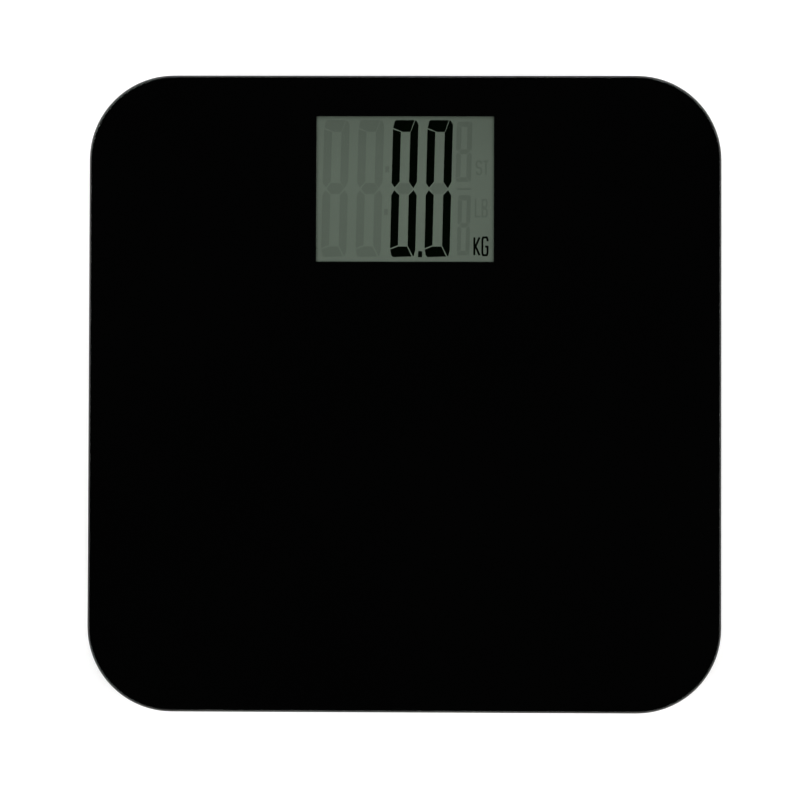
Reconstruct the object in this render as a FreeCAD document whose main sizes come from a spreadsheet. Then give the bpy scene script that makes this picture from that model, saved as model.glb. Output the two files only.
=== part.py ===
import FreeCAD, Part
import math
import os
import Sketcher

# Digital bathroom scale: a glass platform on a thin tray, held up by four feet that each press on a
# load cell. Millimetres. The origin is on the floor under the middle of the platform, +Y runs to the
# display end and +Z is up.

SIZES = {
    # platform
    "glass_width": 300.0,
    "glass_length": 302.0,
    "glass_corner": 40.0,
    "glass_bottom": 18.0,
    "glass_thickness": 6.0,
    "glass_top_arris": 0.8,
    "glass_low_arris": 0.5,
    "print_thickness": 0.18,
    "print_gap": 0.02,
    "window_width": 84.6,
    "window_length": 69.4,
    "window_margin": 18.9,
    # tray
    "tray_inset": 9.0,
    "tray_bottom": 5.0,
    "tray_floor": 2.0,
    "tray_rim": 17.0,
    "tray_edge_round": 2.5,
    "rim_wall": 2.2,
    "rim_gap": 3.0,
    "rim_rail": 1.4,
    "rim_slot_length": 24.0,
    "rim_slot_span": 180.0,
    "rim_slot_count": 7.0,
    "rib": 1.6,
    "rib_inner_x": 20.0,
    "rib_middle_x": 40.0,
    "rib_cross_step": 32.0,
    "tape_inset": 0.4,
    "tape_strip": 6.0,
    "label_width": 64.0,
    "label_length": 40.0,
    "label_y": -62.0,
    "label_recess": 0.3,
    "label_thickness": 0.15,
    # feet and load cells, each set about its corner's centre
    "corner_margin": 7.9,
    "foot_radius": 19.2,
    "foot_wall": 2.2,
    "foot_low": 1.4,
    "foot_web": 2.2,
    "foot_guide_gap": 0.3,
    "foot_flange": 1.4,
    "foot_post_radius": 5.0,
    "foot_rib": 1.4,
    "foot_rib_height": 4.0,
    "collar_top": 9.0,
    "ridge_width": 2.0,
    "ridge_height": 0.8,
    "pad_height": 2.4,
    "pad_groove": 1.0,
    "pad_groove_depth": 0.5,
    "cell_side": 34.0,
    "cell_corner": 5.0,
    "cell_bottom": 11.6,
    "cell_thickness": 2.0,
    "gauge_width": 6.0,
    "gauge_length": 7.0,
    "gauge_thickness": 0.2,
    "gauge_gel": 0.5,
    "bracket_wall": 5.5,
    "bracket_corner": 4.5,
    "bracket_skirt": 11.0,
    "bracket_roof": 15.4,
    "bracket_notch": 5.2,
    "boss_radius": 2.6,
    "boss_gap": 0.3,
    # screws
    "screw_head_radius": 2.3,
    "screw_head": 1.4,
    "screw_shank_radius": 1.05,
    "screw_pilot_radius": 1.15,
    "screw_hole_radius": 1.3,
    "screw_drive": 2.6,
    "screw_drive_width": 0.6,
    "screw_drive_depth": 0.7,
    "bracket_screw_length": 7.0,
    "board_screw_length": 6.4,
    # display
    "panel_top": 17.0,
    "panel_pane": 1.1,
    "polarizer": 0.2,
    "gasket_gap": 0.3,
    "holder_gap": 0.3,
    "holder_wall": 1.5,
    "zebra_width": 2.6,
    "zebra_gap": 0.2,
    "lug_spread": 35.8,
    "lug_half": 3.8,
    "lug_thickness": 2.0,
    # main board
    "board_bottom": 9.4,
    "board_thickness": 1.6,
    "board_boss_radius": 3.0,
    "board_pilot_bottom": 6.2,
    "glob_radius": 6.0,
    "glob_height": 1.4,
    "crystal_x": -30.0,
    "crystal_radius": 1.0,
    "crystal_length": 6.0,
    # unit button
    "button_x": 36.0,
    "button_radius": 5.0,
    "button_gap": 0.2,
    "button_low": 4.2,
    "button_flange": 0.4,
    "switch_side": 6.2,
    "switch_bottom": 8.0,
    "plunger_radius": 1.75,
    "plunger_gap": 0.05,
    "plunger_top": 8.9,
    # battery well, door and cell
    "well_wall": 1.6,
    "well_roof": 13.0,
    "well_roof_thickness": 1.5,
    "hinge_z": 6.6,
    "barrel_radius": 1.6,
    "pin_radius": 0.8,
    "pin_gap": 0.05,
    "pin_length": 1.5,
    "door_gap": 0.3,
    "door_thickness": 1.8,
    "door_boss_radius": 3.4,
    "door_boss": 1.0,
    "door_screw_recess": 2.5,
    "door_screw_head_radius": 2.2,
    "door_screw_head_low": 5.2,
    "door_screw_seat": 6.4,
    "door_screw_radius": 1.0,
    "door_screw_gap": 0.08,
    "door_screw_top": 10.5,
    "nut_boss_radius": 3.0,
    "nut_boss_low": 7.9,
    "nut_hole_radius": 1.35,
    "grip_length": 10.0,
    "grip_width": 0.8,
    "grip_depth": 0.4,
    "grip_pitch": 2.2,
    "coin_radius": 10.0,
    "coin_bottom": 8.0,
    "coin_height": 3.2,
    "coin_skin": 0.4,
    "hook_reach": 3.5,
    "hook_half": 4.0,
    "contact_thickness": 0.3,
    "contact_width": 5.0,
    # leads
    "lead_radius": 0.45,
    "lead_pitch": 1.3,
    "lead_bend": 1.9,
    "lead_height": 14.2,
    "lead_floor_gap": 0.05,
}

CORNERS = {
    "front_left": (-1, -1),
    "front_right": (1, -1),
    "rear_left": (-1, 1),
    "rear_right": (1, 1),
}

doc = FreeCAD.newDocument("BathroomScale")


class Length:
    # A number together with the sheet formula it comes from, so that one piece of arithmetic gives
    # both a sketch's starting geometry and the expression that drives it.

    def __init__(self, formula, value):
        self.formula = formula
        self.value = value

    def __add__(self, other):
        other = length(other)
        return Length(f"({self.formula} + {other.formula})", self.value + other.value)

    def __sub__(self, other):
        other = length(other)
        return Length(f"({self.formula} - {other.formula})", self.value - other.value)

    def __mul__(self, other):
        other = length(other)
        return Length(f"({self.formula} * {other.formula})", self.value * other.value)

    def __truediv__(self, other):
        other = length(other)
        return Length(f"({self.formula} / {other.formula})", self.value / other.value)

    def __neg__(self):
        return Length(f"(0 - {self.formula})", -self.value)

    def __radd__(self, other):
        return length(other) + self

    def __rsub__(self, other):
        return length(other) - self

    def __rmul__(self, other):
        return length(other) * self


def length(value):
    if isinstance(value, Length):
        return value
    if value < 0:
        return Length(f"(0 - {-value})", float(value))
    return Length(f"{value}", float(value))


class Sheet:
    # The spreadsheet of driving sizes, read as attributes.

    def __init__(self, sizes):
        self.cells = doc.addObject("Spreadsheet::Sheet", "Sizes")
        for row, (name, value) in enumerate(sizes.items(), start=1):
            self.cells.set(f"A{row}", name)
            self.cells.set(f"B{row}", str(value))
            self.cells.setAlias(f"B{row}", name)
        doc.recompute()

    def __getattr__(self, name):
        return Length(f"Sizes.{name}", float(self.cells.get(name)))


s = Sheet(SIZES)

# Sizes and places that follow from the sheet.
rim_width = s.rim_wall + s.rim_gap + s.rim_rail
tray_width = s.glass_width - 2 * s.tray_inset
tray_length = s.glass_length - 2 * s.tray_inset
tray_corner = s.glass_corner - s.tray_inset
bracket_side = s.cell_side + 2 * s.bracket_wall
bracket_cavity = s.cell_side - 8
boss_offset = s.cell_side / 2 + 1.5
foot_x = tray_width / 2 - rim_width - bracket_side / 2 - s.corner_margin
foot_y = tray_length / 2 - rim_width - bracket_side / 2 - s.corner_margin
foot_flange_radius = s.foot_radius + 2.8
collar_radius = foot_flange_radius + 1
ridge_radius = foot_flange_radius + 2.5
pad_radius = s.foot_radius - s.foot_wall
pad_groove_pitch = (pad_radius - 2) / 5
cell_window_half = s.cell_side / 2 - 7
cell_window_back = s.cell_side / 2 - 5
cell_neck_y = s.cell_side / 2 - 8
cell_tongue_half = cell_window_half - 2.5
rib_border_x = foot_x - 42
rib_outer_x = foot_x - 20
rib_outer_y = foot_y - 39
rib_front = foot_y + 13
window_y = s.glass_length / 2 - s.window_margin - s.window_length / 2
panel_y = window_y - 1
panel_width = s.window_width + 7.4
panel_length = s.window_length + 10.6
panel_back_length = panel_length - 7.4
polarizer_width = s.window_width + 3.4
polarizer_length = s.window_length + 4.6
holder_opening_width = panel_width - 6
holder_opening_length = panel_length - 16
zebra_length = panel_width - 7.6
zebra_offset = panel_length / 2 - 1.6
lug_x = panel_width / 2 + 6
lug_front = panel_y - s.lug_spread
lug_back = panel_y + s.lug_spread
board_half_width = lug_x + 5
board_front = panel_y - 53.4
board_back = panel_y + 41.6
relief_half_width = board_half_width + 2
rib_back = board_front - 7
glob_y = panel_y - 12.4
crystal_y = board_front + 6
chip_row_y = board_front + 7.4
button_y = board_front + 7
button_flange_radius = s.button_radius + 1.2
hinge_y = board_front - 21
well_back = hinge_y + s.barrel_radius + s.door_gap
well_half_width = s.coin_radius + 2.5
coin_y = hinge_y - s.coin_radius - 3
door_screw_y = coin_y - s.coin_radius - 7
well_front = door_screw_y - 4
contact_tail_end = well_back + 4.6
lead_drop_y = foot_y - bracket_side / 2 - 2.9
lead_turn_y = lead_drop_y - 5.6
lead_corridor_x = foot_x - 31
lead_front_landing = board_front + 11
lead_rise_x = board_half_width + 3
lead_landing_x = board_half_width - 2.5

# Levels.
glass_top = s.glass_bottom + s.glass_thickness
print_top = s.glass_bottom - s.print_gap
print_bottom = print_top - s.print_thickness
floor_top = s.tray_bottom + s.tray_floor
cell_top = s.cell_bottom + s.cell_thickness
flange_top = s.collar_top + s.foot_flange
board_top = s.board_bottom + s.board_thickness
panel_ledge = s.panel_top - s.panel_pane
panel_low = s.panel_top - 2 * s.panel_pane
shelf = panel_low - s.polarizer
coin_top = s.coin_bottom + s.coin_height
head_seat = s.tray_rim - s.screw_head


def bind(item, name, size):
    size = length(size)
    item.setExpression(name, size.formula)


def constrain(sketch, constraint, size):
    index = sketch.addConstraint(constraint)
    bind(sketch, f"Constraints[{index}]", size)


def pin_point(sketch, geometry, point, x, y):
    constrain(sketch, Sketcher.Constraint("DistanceX", -1, 1, geometry, point, length(x).value), x)
    constrain(sketch, Sketcher.Constraint("DistanceY", -1, 1, geometry, point, length(y).value), y)


def flat(x, y):
    return FreeCAD.Vector(length(x).value, length(y).value, 0)


def disc(x, y, radius):
    def draw(sketch):
        radius_value = length(radius).value
        circle = Part.Circle(flat(x, y), FreeCAD.Vector(0, 0, 1), radius_value)
        index = sketch.addGeometry(circle, False)
        pin_point(sketch, index, 3, x, y)
        constrain(sketch, Sketcher.Constraint("Radius", index, radius_value), radius)
    return draw


def polygon(points):
    def draw(sketch):
        first = sketch.GeometryCount
        count = len(points)
        for start, end in zip(points, points[1:] + points[:1]):
            sketch.addGeometry(Part.LineSegment(flat(*start), flat(*end)), False)
        for number, (x, y) in enumerate(points):
            following = first + (number + 1) % count
            sketch.addConstraint(Sketcher.Constraint("Coincident", first + number, 2, following, 1))
            pin_point(sketch, first + number, 1, x, y)
    return draw


def box(left, right, front, back):
    return polygon([(left, front), (right, front), (right, back), (left, back)])


def block(x, y, width, depth):
    half_width = length(width) / 2
    half_depth = length(depth) / 2
    return box(x - half_width, x + half_width, y - half_depth, y + half_depth)


def plus(x, y, span, width):
    far = length(span) / 2
    near = length(width) / 2
    corners = [(far, near), (near, near), (near, far)]
    quarter = list(corners)
    quarter += [(-px, py) for px, py in reversed(corners)]
    quarter += [(-px, -py) for px, py in corners]
    quarter += [(px, -py) for px, py in reversed(corners)]
    return polygon([(x + px, y + py) for px, py in quarter])


def rounded(x, y, width, depth, radius):
    def draw(sketch):
        first = sketch.GeometryCount
        radius_value = length(radius).value
        reach_x = length(width) / 2 - radius
        reach_y = length(depth) / 2 - radius
        for number, (side_x, side_y) in enumerate([(1, 1), (-1, 1), (-1, -1), (1, -1)]):
            centre = flat(x + reach_x * side_x, y + reach_y * side_y)
            circle = Part.Circle(centre, FreeCAD.Vector(0, 0, 1), radius_value)
            turn = number * math.pi / 2
            sketch.addGeometry(Part.ArcOfCircle(circle, turn, turn + math.pi / 2), False)
        for number in range(4):
            start = sketch.getPoint(first + number, 2)
            end = sketch.getPoint(first + (number + 1) % 4, 1)
            sketch.addGeometry(Part.LineSegment(start, end), False)
        for number in range(4):
            line = first + 4 + number
            following = first + (number + 1) % 4
            sketch.addConstraint(Sketcher.Constraint("Tangent", first + number, 2, line, 1))
            sketch.addConstraint(Sketcher.Constraint("Tangent", line, 2, following, 1))
            direction = "Horizontal" if number % 2 == 0 else "Vertical"
            sketch.addConstraint(Sketcher.Constraint(direction, line))
        for number in range(1, 4):
            sketch.addConstraint(Sketcher.Constraint("Equal", first, first + number))
        constrain(sketch, Sketcher.Constraint("Radius", first, radius_value), radius)
        pin_point(sketch, first, 3, x + reach_x, y + reach_y)
        pin_point(sketch, first + 2, 3, x - reach_x, y - reach_y)
    return draw


def new_body(label, x=0, y=0, turn=0):
    body = doc.addObject("PartDesign::Body", label)
    body.Label = label
    rotation = FreeCAD.Rotation(FreeCAD.Vector(0, 0, 1), turn)
    body.Placement = FreeCAD.Placement(flat(x, y), rotation)
    bind(body, "Placement.Base.x", x)
    bind(body, "Placement.Base.y", y)
    return body


def new_sketch(body, name, plane, offset, shapes):
    support = next(item for item in body.Origin.OriginFeatures if item.Role == plane)
    sketch = body.newObject("Sketcher::SketchObject", name + "Sketch")
    sketch.AttachmentSupport = [(support, "")]
    sketch.MapMode = "FlatFace"
    bind(sketch, "AttachmentOffset.Base.z", offset)
    for shape in shapes:
        shape(sketch)
    return sketch


def pad(body, name, low, high, *shapes, plane="XY_Plane"):
    sketch = new_sketch(body, name, plane, low, shapes)
    feature = body.newObject("PartDesign::Pad", name)
    feature.Profile = sketch
    bind(feature, "Length", high - low)
    doc.recompute()
    return feature


def pocket(body, name, low, high, *shapes, plane="XY_Plane"):
    # The sketch lies at the high end and the cut runs down to the low end.
    before = body.Shape.Volume
    sketch = new_sketch(body, name, plane, high, shapes)
    feature = body.newObject("PartDesign::Pocket", name)
    feature.Profile = sketch
    bind(feature, "Length", high - low)
    doc.recompute()
    if body.Shape.Volume >= before:
        raise RuntimeError(f"{body.Label}: {name} removes nothing")
    return feature


def revolve(body, name, points):
    sketch = new_sketch(body, name, "XZ_Plane", 0, [polygon(points)])
    feature = body.newObject("PartDesign::Revolution", name)
    feature.Profile = sketch
    feature.ReferenceAxis = (sketch, ["V_Axis"])
    feature.Angle = 360
    doc.recompute()
    return feature


def repeat_along(body, name, feature, axis, span, count):
    pattern = body.newObject("PartDesign::LinearPattern", name)
    pattern.Originals = [feature]
    pattern.Direction = (feature.Profile[0], [axis])
    bind(pattern, "Length", span)
    bind(pattern, "Occurrences", count)
    body.Tip = pattern
    doc.recompute()


def repeat_round(body, name, feature, count):
    pattern = body.newObject("PartDesign::PolarPattern", name)
    pattern.Originals = [feature]
    pattern.Axis = (feature.Profile[0], ["N_Axis"])
    pattern.Angle = 360
    pattern.Occurrences = count
    body.Tip = pattern
    doc.recompute()


def edges_at(shape, level):
    names = []
    for number, edge in enumerate(shape.Edges, start=1):
        if all(abs(vertex.Z - level.value) < 1e-6 for vertex in edge.Vertexes):
            names.append(f"Edge{number}")
    return names


def ease(body, kind, name, level, size):
    base = body.Tip
    feature = body.newObject(f"PartDesign::{kind}", name)
    feature.Base = (base, edges_at(base.Shape, level))
    bind(feature, "Radius" if kind == "Fillet" else "Size", size)
    doc.recompute()
    return feature


def copies(label, master, places):
    links = []
    for x, y, z in places:
        link = doc.addObject("App::Link", label + "Copy")
        link.LinkedObject = master
        bind(link, "Placement.Base.x", x)
        bind(link, "Placement.Base.y", y)
        bind(link, "Placement.Base.z", z)
        links.append(link)
    group = doc.addObject("Part::Compound", label)
    group.Label = label
    group.Links = links
    return group


def corner_spots(offset_x, offset_y):
    return [(side_x * offset_x, side_y * offset_y) for side_x in (-1, 1) for side_y in (-1, 1)]


def foot_centres():
    return corner_spots(foot_x, foot_y)


def bracket_screw_spots():
    spots = []
    for x, y in foot_centres():
        spots += [(x + dx, y + dy) for dx, dy in corner_spots(boss_offset, boss_offset)]
    return spots


def board_screw_spots():
    return [(side * lug_x, y) for side in (-1, 1) for y in (lug_front, lug_back)]


def inset_outline(inset):
    return rounded(
        0, 0, tray_width - 2 * inset, tray_length - 2 * inset, tray_corner - inset
    )


def glass_platform():
    body = new_body("glass_platform")
    outline = rounded(0, 0, s.glass_width, s.glass_length, s.glass_corner)
    pad(body, "Pane", s.glass_bottom, glass_top, outline)
    ease(body, "Chamfer", "TopArris", glass_top, s.glass_top_arris)
    ease(body, "Chamfer", "LowArris", s.glass_bottom, s.glass_low_arris)
    return body


def black_back_print():
    body = new_body("black_back_print")
    inset = 2 * s.glass_low_arris
    width = s.glass_width - inset
    depth = s.glass_length - inset
    outline = rounded(0, 0, width, depth, s.glass_corner - s.glass_low_arris)
    window = block(0, window_y, s.window_width, s.window_length)
    pad(body, "Coat", print_bottom, print_top, outline, window)
    return body


def mounting_tape():
    body = new_body("mounting_tape")
    ring = [inset_outline(s.tape_inset), inset_outline(rim_width - s.tape_inset)]
    squares = [
        rounded(x, y, bracket_side, bracket_side, s.bracket_corner)
        for x, y in foot_centres()
    ]
    strips = [
        box(
            side * s.rib_middle_x - s.tape_strip / 2,
            side * s.rib_middle_x + s.tape_strip / 2,
            1 - rib_front,
            rib_back - 1,
        )
        for side in (-1, 1)
    ]
    pad(body, "Foam", s.tray_rim, print_bottom, *ring, *squares, *strips)
    relief_back = tray_length / 2 - s.rim_wall
    relief = box(-relief_half_width, relief_half_width, board_back - 8, relief_back)
    pocket(body, "DisplayRelief", s.tray_rim, print_bottom, relief)
    return body


def tray_rim(body):
    pad(body, "Shell", s.tray_bottom, s.tray_rim, inset_outline(length(0)))
    ease(body, "Fillet", "LowEdge", s.tray_bottom, s.tray_edge_round)
    pocket(body, "Interior", floor_top, s.tray_rim, inset_outline(rim_width))
    slot_inset = s.rim_wall + s.rim_gap / 2
    across = tray_length / 2 - slot_inset
    along = tray_width / 2 - slot_inset
    start = -s.rim_slot_span / 2
    ends = [block(start, side * across, s.rim_slot_length, s.rim_gap) for side in (-1, 1)]
    cores = pocket(body, "EndCores", floor_top, s.tray_rim, *ends)
    repeat_along(body, "EndCoreRow", cores, "H_Axis", s.rim_slot_span, s.rim_slot_count)
    sides = [block(side * along, start, s.rim_gap, s.rim_slot_length) for side in (-1, 1)]
    cores = pocket(body, "SideCores", floor_top, s.tray_rim, *sides)
    repeat_along(body, "SideCoreRow", cores, "V_Axis", s.rim_slot_span, s.rim_slot_count)
    relief_back = tray_length / 2 - s.rim_wall
    relief = box(-relief_half_width, relief_half_width, board_back - 8, relief_back)
    pocket(body, "DisplayRelief", floor_top, s.tray_rim, relief)


def tray_ribs(body):
    half = s.rib / 2
    bars = []
    for side in (-1, 1):
        inner = side * s.rib_inner_x
        inner_back = s.rib_cross_step * 3 - rib_front + half
        bars.append(box(inner - half, inner + half, -rib_front, inner_back))
        for x in (side * s.rib_middle_x, side * rib_border_x):
            bars.append(box(x - half, x + half, -rib_front, rib_back))
        outer = side * rib_outer_x
        bars.append(box(outer - half, outer + half, -rib_outer_y, rib_outer_y))
    pad(body, "LongRibs", floor_top, s.tray_rim, *bars)
    bars = []
    for number in range(4):
        y = number * s.rib_cross_step - rib_front
        bars.append(box(-rib_border_x, rib_border_x, y, y + s.rib))
    rail_face = tray_width / 2 - rim_width + s.rim_rail / 2
    for side in (-1, 1):
        for share in (-0.9, -0.3, 0.3, 0.9):
            y = share * rib_outer_y
            ends = sorted([side * rib_outer_x, side * rail_face], key=lambda end: end.value)
            bars.append(box(ends[0], ends[1], y - half, y + half))
    pad(body, "CrossRibs", floor_top, s.tray_rim, *bars)


def tray_feet(body):
    centres = foot_centres()
    collars = [disc(x, y, collar_radius) for x, y in centres]
    pad(body, "FootCollars", floor_top, s.collar_top, *collars)
    guide = s.foot_radius + s.foot_guide_gap
    guides = [disc(x, y, guide) for x, y in centres]
    pocket(body, "FootGuides", s.tray_bottom - 1, s.collar_top, *guides)
    ridges = [disc(x, y, ridge_radius) for x, y in centres]
    ridges += [disc(x, y, ridge_radius + s.ridge_width) for x, y in centres]
    pad(body, "FootRidges", s.tray_bottom - s.ridge_height, s.tray_bottom, *ridges)


def tray_bosses(body):
    spots = bracket_screw_spots()
    bosses = [disc(x, y, s.boss_radius) for x, y in spots]
    pad(body, "BracketBosses", floor_top, cell_top, *bosses)
    pilots = [disc(x, y, s.screw_pilot_radius) for x, y in spots]
    pocket(body, "BracketPilots", floor_top + 1, cell_top, *pilots)
    spots = board_screw_spots()
    bosses = [disc(x, y, s.board_boss_radius) for x, y in spots]
    pad(body, "BoardBosses", floor_top, s.board_bottom, *bosses)
    pilots = [disc(x, y, s.screw_pilot_radius) for x, y in spots]
    pocket(body, "BoardPilots", s.board_pilot_bottom, s.board_bottom, *pilots)


def tray_battery_well(body):
    half = well_half_width
    outer = half + s.well_wall
    roof = s.well_roof + s.well_roof_thickness
    walls = box(-outer, outer, well_front - s.well_wall, well_back + s.well_wall)
    pad(body, "WellWalls", floor_top, roof, walls)
    hollow = box(-half, half, well_front, well_back)
    pocket(body, "WellHollow", s.tray_bottom - 1, s.well_roof, hollow)
    hooks = []
    for side in (-1, 1):
        ends = sorted([side * half, side * (half - s.hook_reach)], key=lambda end: end.value)
        hooks.append(box(ends[0], ends[1], coin_y - s.hook_half, coin_y + s.hook_half))
    pad(body, "CoinHooks", s.coin_bottom - 1, s.coin_bottom, *hooks)
    pad(body, "NutBoss", s.nut_boss_low, s.well_roof, disc(0, door_screw_y, s.nut_boss_radius))
    nut = disc(0, door_screw_y, s.nut_hole_radius)
    pocket(body, "NutHole", s.nut_boss_low, s.well_roof - 1, nut)
    slot = box(-s.contact_width / 2 - 0.3, s.contact_width / 2 + 0.3, well_back - 1, well_back + 3)
    pocket(body, "NegativeSlot", s.well_roof - 0.6, s.well_roof, slot)
    slot = box(-half, 0.7 - half, well_back - 1, well_back + 3)
    pocket(body, "PositiveSlot", s.coin_bottom + 0.3, s.coin_bottom + 2.9, slot)
    bore = disc(hinge_y, s.hinge_z, s.pin_radius + s.pin_gap)
    reach = half + s.pin_length
    pocket(body, "HingeBores", -reach, reach, bore, plane="YZ_Plane")


def base_tray():
    body = new_body("base_tray")
    tray_rim(body)
    tray_ribs(body)
    tray_feet(body)
    tray_bosses(body)
    tray_battery_well(body)
    gap = s.button_radius + s.button_gap
    pocket(body, "ButtonHole", s.tray_bottom - 1, floor_top, disc(s.button_x, button_y, gap))
    recess = rounded(0, s.label_y, s.label_width + 0.6, s.label_length + 0.6, length(2.3))
    pocket(body, "LabelRecess", s.tray_bottom - 1, s.tray_bottom + s.label_recess, recess)
    return body


def rating_label():
    body = new_body("rating_label")
    top = s.tray_bottom + s.label_recess
    outline = rounded(0, s.label_y, s.label_width, s.label_length, length(2))
    pad(body, "Plate", top - s.label_thickness, top, outline)
    return body


def corner_body(kind, corner):
    side_x, side_y = CORNERS[corner]
    turn = 0 if side_y > 0 else 180
    return new_body(f"{kind}_{corner}", side_x * foot_x, side_y * foot_y, turn)


def foot(corner):
    body = corner_body("foot", corner)
    recess = pad_radius + 0.3
    inner = s.foot_radius - s.foot_wall
    floor = s.pad_height + s.foot_web
    revolve(body, "Plunger", [
        (length(0), s.pad_height),
        (recess, s.pad_height),
        (recess, s.foot_low),
        (s.foot_radius, s.foot_low),
        (s.foot_radius, s.collar_top),
        (foot_flange_radius, s.collar_top),
        (foot_flange_radius, flange_top),
        (inner, flange_top),
        (inner, floor),
        (s.foot_post_radius, floor),
        (s.foot_post_radius, s.cell_bottom),
        (length(0), s.cell_bottom),
    ])
    rib = box(s.foot_post_radius - 0.4, inner + 0.4, -s.foot_rib / 2, s.foot_rib / 2)
    feature = pad(body, "Rib", floor, floor + s.foot_rib_height, rib)
    repeat_round(body, "Ribs", feature, 6)
    return body


def foot_pad(corner):
    body = corner_body("foot_pad", corner)
    points = [(length(0), s.pad_height), (length(0), length(0))]
    for number in range(1, 5):
        near = number * pad_groove_pitch + 1
        far = near + s.pad_groove
        depth = s.pad_groove_depth
        points += [(near, length(0)), (near, depth), (far, depth), (far, length(0))]
    points += [
        (pad_radius - s.pad_groove_depth, length(0)),
        (pad_radius, s.pad_groove_depth),
        (pad_radius, s.pad_height),
    ]
    revolve(body, "Disc", points)
    return body


def load_cell(corner):
    body = corner_body("load_cell", corner)
    plate = rounded(0, 0, s.cell_side, s.cell_side, s.cell_corner)
    pad(body, "Plate", s.cell_bottom, cell_top, plate)
    half = cell_window_half
    window = box(-half, half, -cell_neck_y, cell_window_back)
    pocket(body, "Window", s.cell_bottom - 1, cell_top, window)
    tongue = box(
        -cell_tongue_half, cell_tongue_half, -cell_neck_y, cell_window_back - 2
    )
    pad(body, "Tongue", s.cell_bottom, cell_top, tongue)
    return body


def strain_gauge(corner):
    body = corner_body("strain_gauge", corner)
    middle = 2 - cell_neck_y
    top = cell_top + s.gauge_thickness
    pad(body, "Foil", cell_top, top, block(0, middle, s.gauge_width, s.gauge_length))
    gel = rounded(0, middle + 0.4, s.gauge_width - 1, s.gauge_length - 2.4, length(1.2))
    pad(body, "Gel", top, top + s.gauge_gel, gel)
    return body


def cell_bracket(corner):
    body = corner_body("cell_bracket", corner)
    side = bracket_side
    pad(body, "Block", s.bracket_skirt, s.tray_rim, rounded(0, 0, side, side, s.bracket_corner))
    seat = s.cell_side + 2 * s.boss_gap
    low = s.bracket_skirt - 1
    pocket(body, "CellSeat", low, cell_top, rounded(0, 0, seat, seat, s.cell_corner + s.boss_gap))
    cavity = bracket_cavity
    pocket(body, "FlexRoom", cell_top, s.bracket_roof, rounded(0, 0, cavity, cavity, length(3)))
    half = s.bracket_notch / 2
    notch = box(-half, half, -side / 2 - 1, 1 - cavity / 2)
    pocket(body, "LeadNotch", cell_top, s.bracket_roof, notch)
    spots = corner_spots(boss_offset, boss_offset)
    socket = s.boss_radius + s.boss_gap
    pocket(body, "BossSockets", low, cell_top, *[disc(x, y, socket) for x, y in spots])
    holes = [disc(x, y, s.screw_hole_radius) for x, y in spots]
    pocket(body, "ScrewHoles", low, head_seat, *holes)
    bores = [disc(x, y, s.screw_head_radius + 0.4) for x, y in spots]
    pocket(body, "HeadBores", head_seat, s.tray_rim + 1, *bores)
    return body


def screw_master(label, shank):
    # Stands on its tip's side of the origin: the underside of the head is at zero.
    body = new_body(label)
    pad(body, "Head", length(0), s.screw_head, disc(0, 0, s.screw_head_radius))
    pad(body, "Shank", -shank, length(0), disc(0, 0, s.screw_shank_radius))
    drive = plus(length(0), length(0), s.screw_drive, s.screw_drive_width)
    pocket(body, "Drive", s.screw_head - s.screw_drive_depth, s.screw_head, drive)
    return body


def bracket_screws():
    master = screw_master("BracketScrew", s.bracket_screw_length)
    places = [(x, y, head_seat) for x, y in bracket_screw_spots()]
    return copies("bracket_screws", master, places)


def board_screws():
    master = screw_master("BoardScrew", s.board_screw_length)
    places = [(x, y, board_top + s.lug_thickness) for x, y in board_screw_spots()]
    return copies("board_screws", master, places)


def window_gasket():
    body = new_body("window_gasket")
    outer = block(0, panel_y, panel_width, panel_length)
    gap = 2 * s.gasket_gap
    inner = block(0, panel_y, polarizer_width + gap, polarizer_length + gap)
    pad(body, "Foam", s.panel_top, print_bottom, outer, inner)
    return body


def lcd_front_polarizer():
    body = new_body("lcd_front_polarizer")
    sheet = block(0, panel_y, polarizer_width, polarizer_length)
    pad(body, "Film", s.panel_top, s.panel_top + s.polarizer, sheet)
    return body


def lcd_glass_cell():
    body = new_body("lcd_glass_cell")
    front = block(0, panel_y, panel_width, panel_length)
    pad(body, "FrontPane", panel_ledge, s.panel_top, front)
    back = block(0, panel_y, panel_width, panel_back_length)
    pad(body, "BackPane", panel_low, panel_ledge, back)
    return body


def lcd_reflector():
    body = new_body("lcd_reflector")
    sheet = block(0, panel_y, polarizer_width, panel_back_length - 1)
    pad(body, "Film", shelf, panel_low, sheet)
    return body


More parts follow.
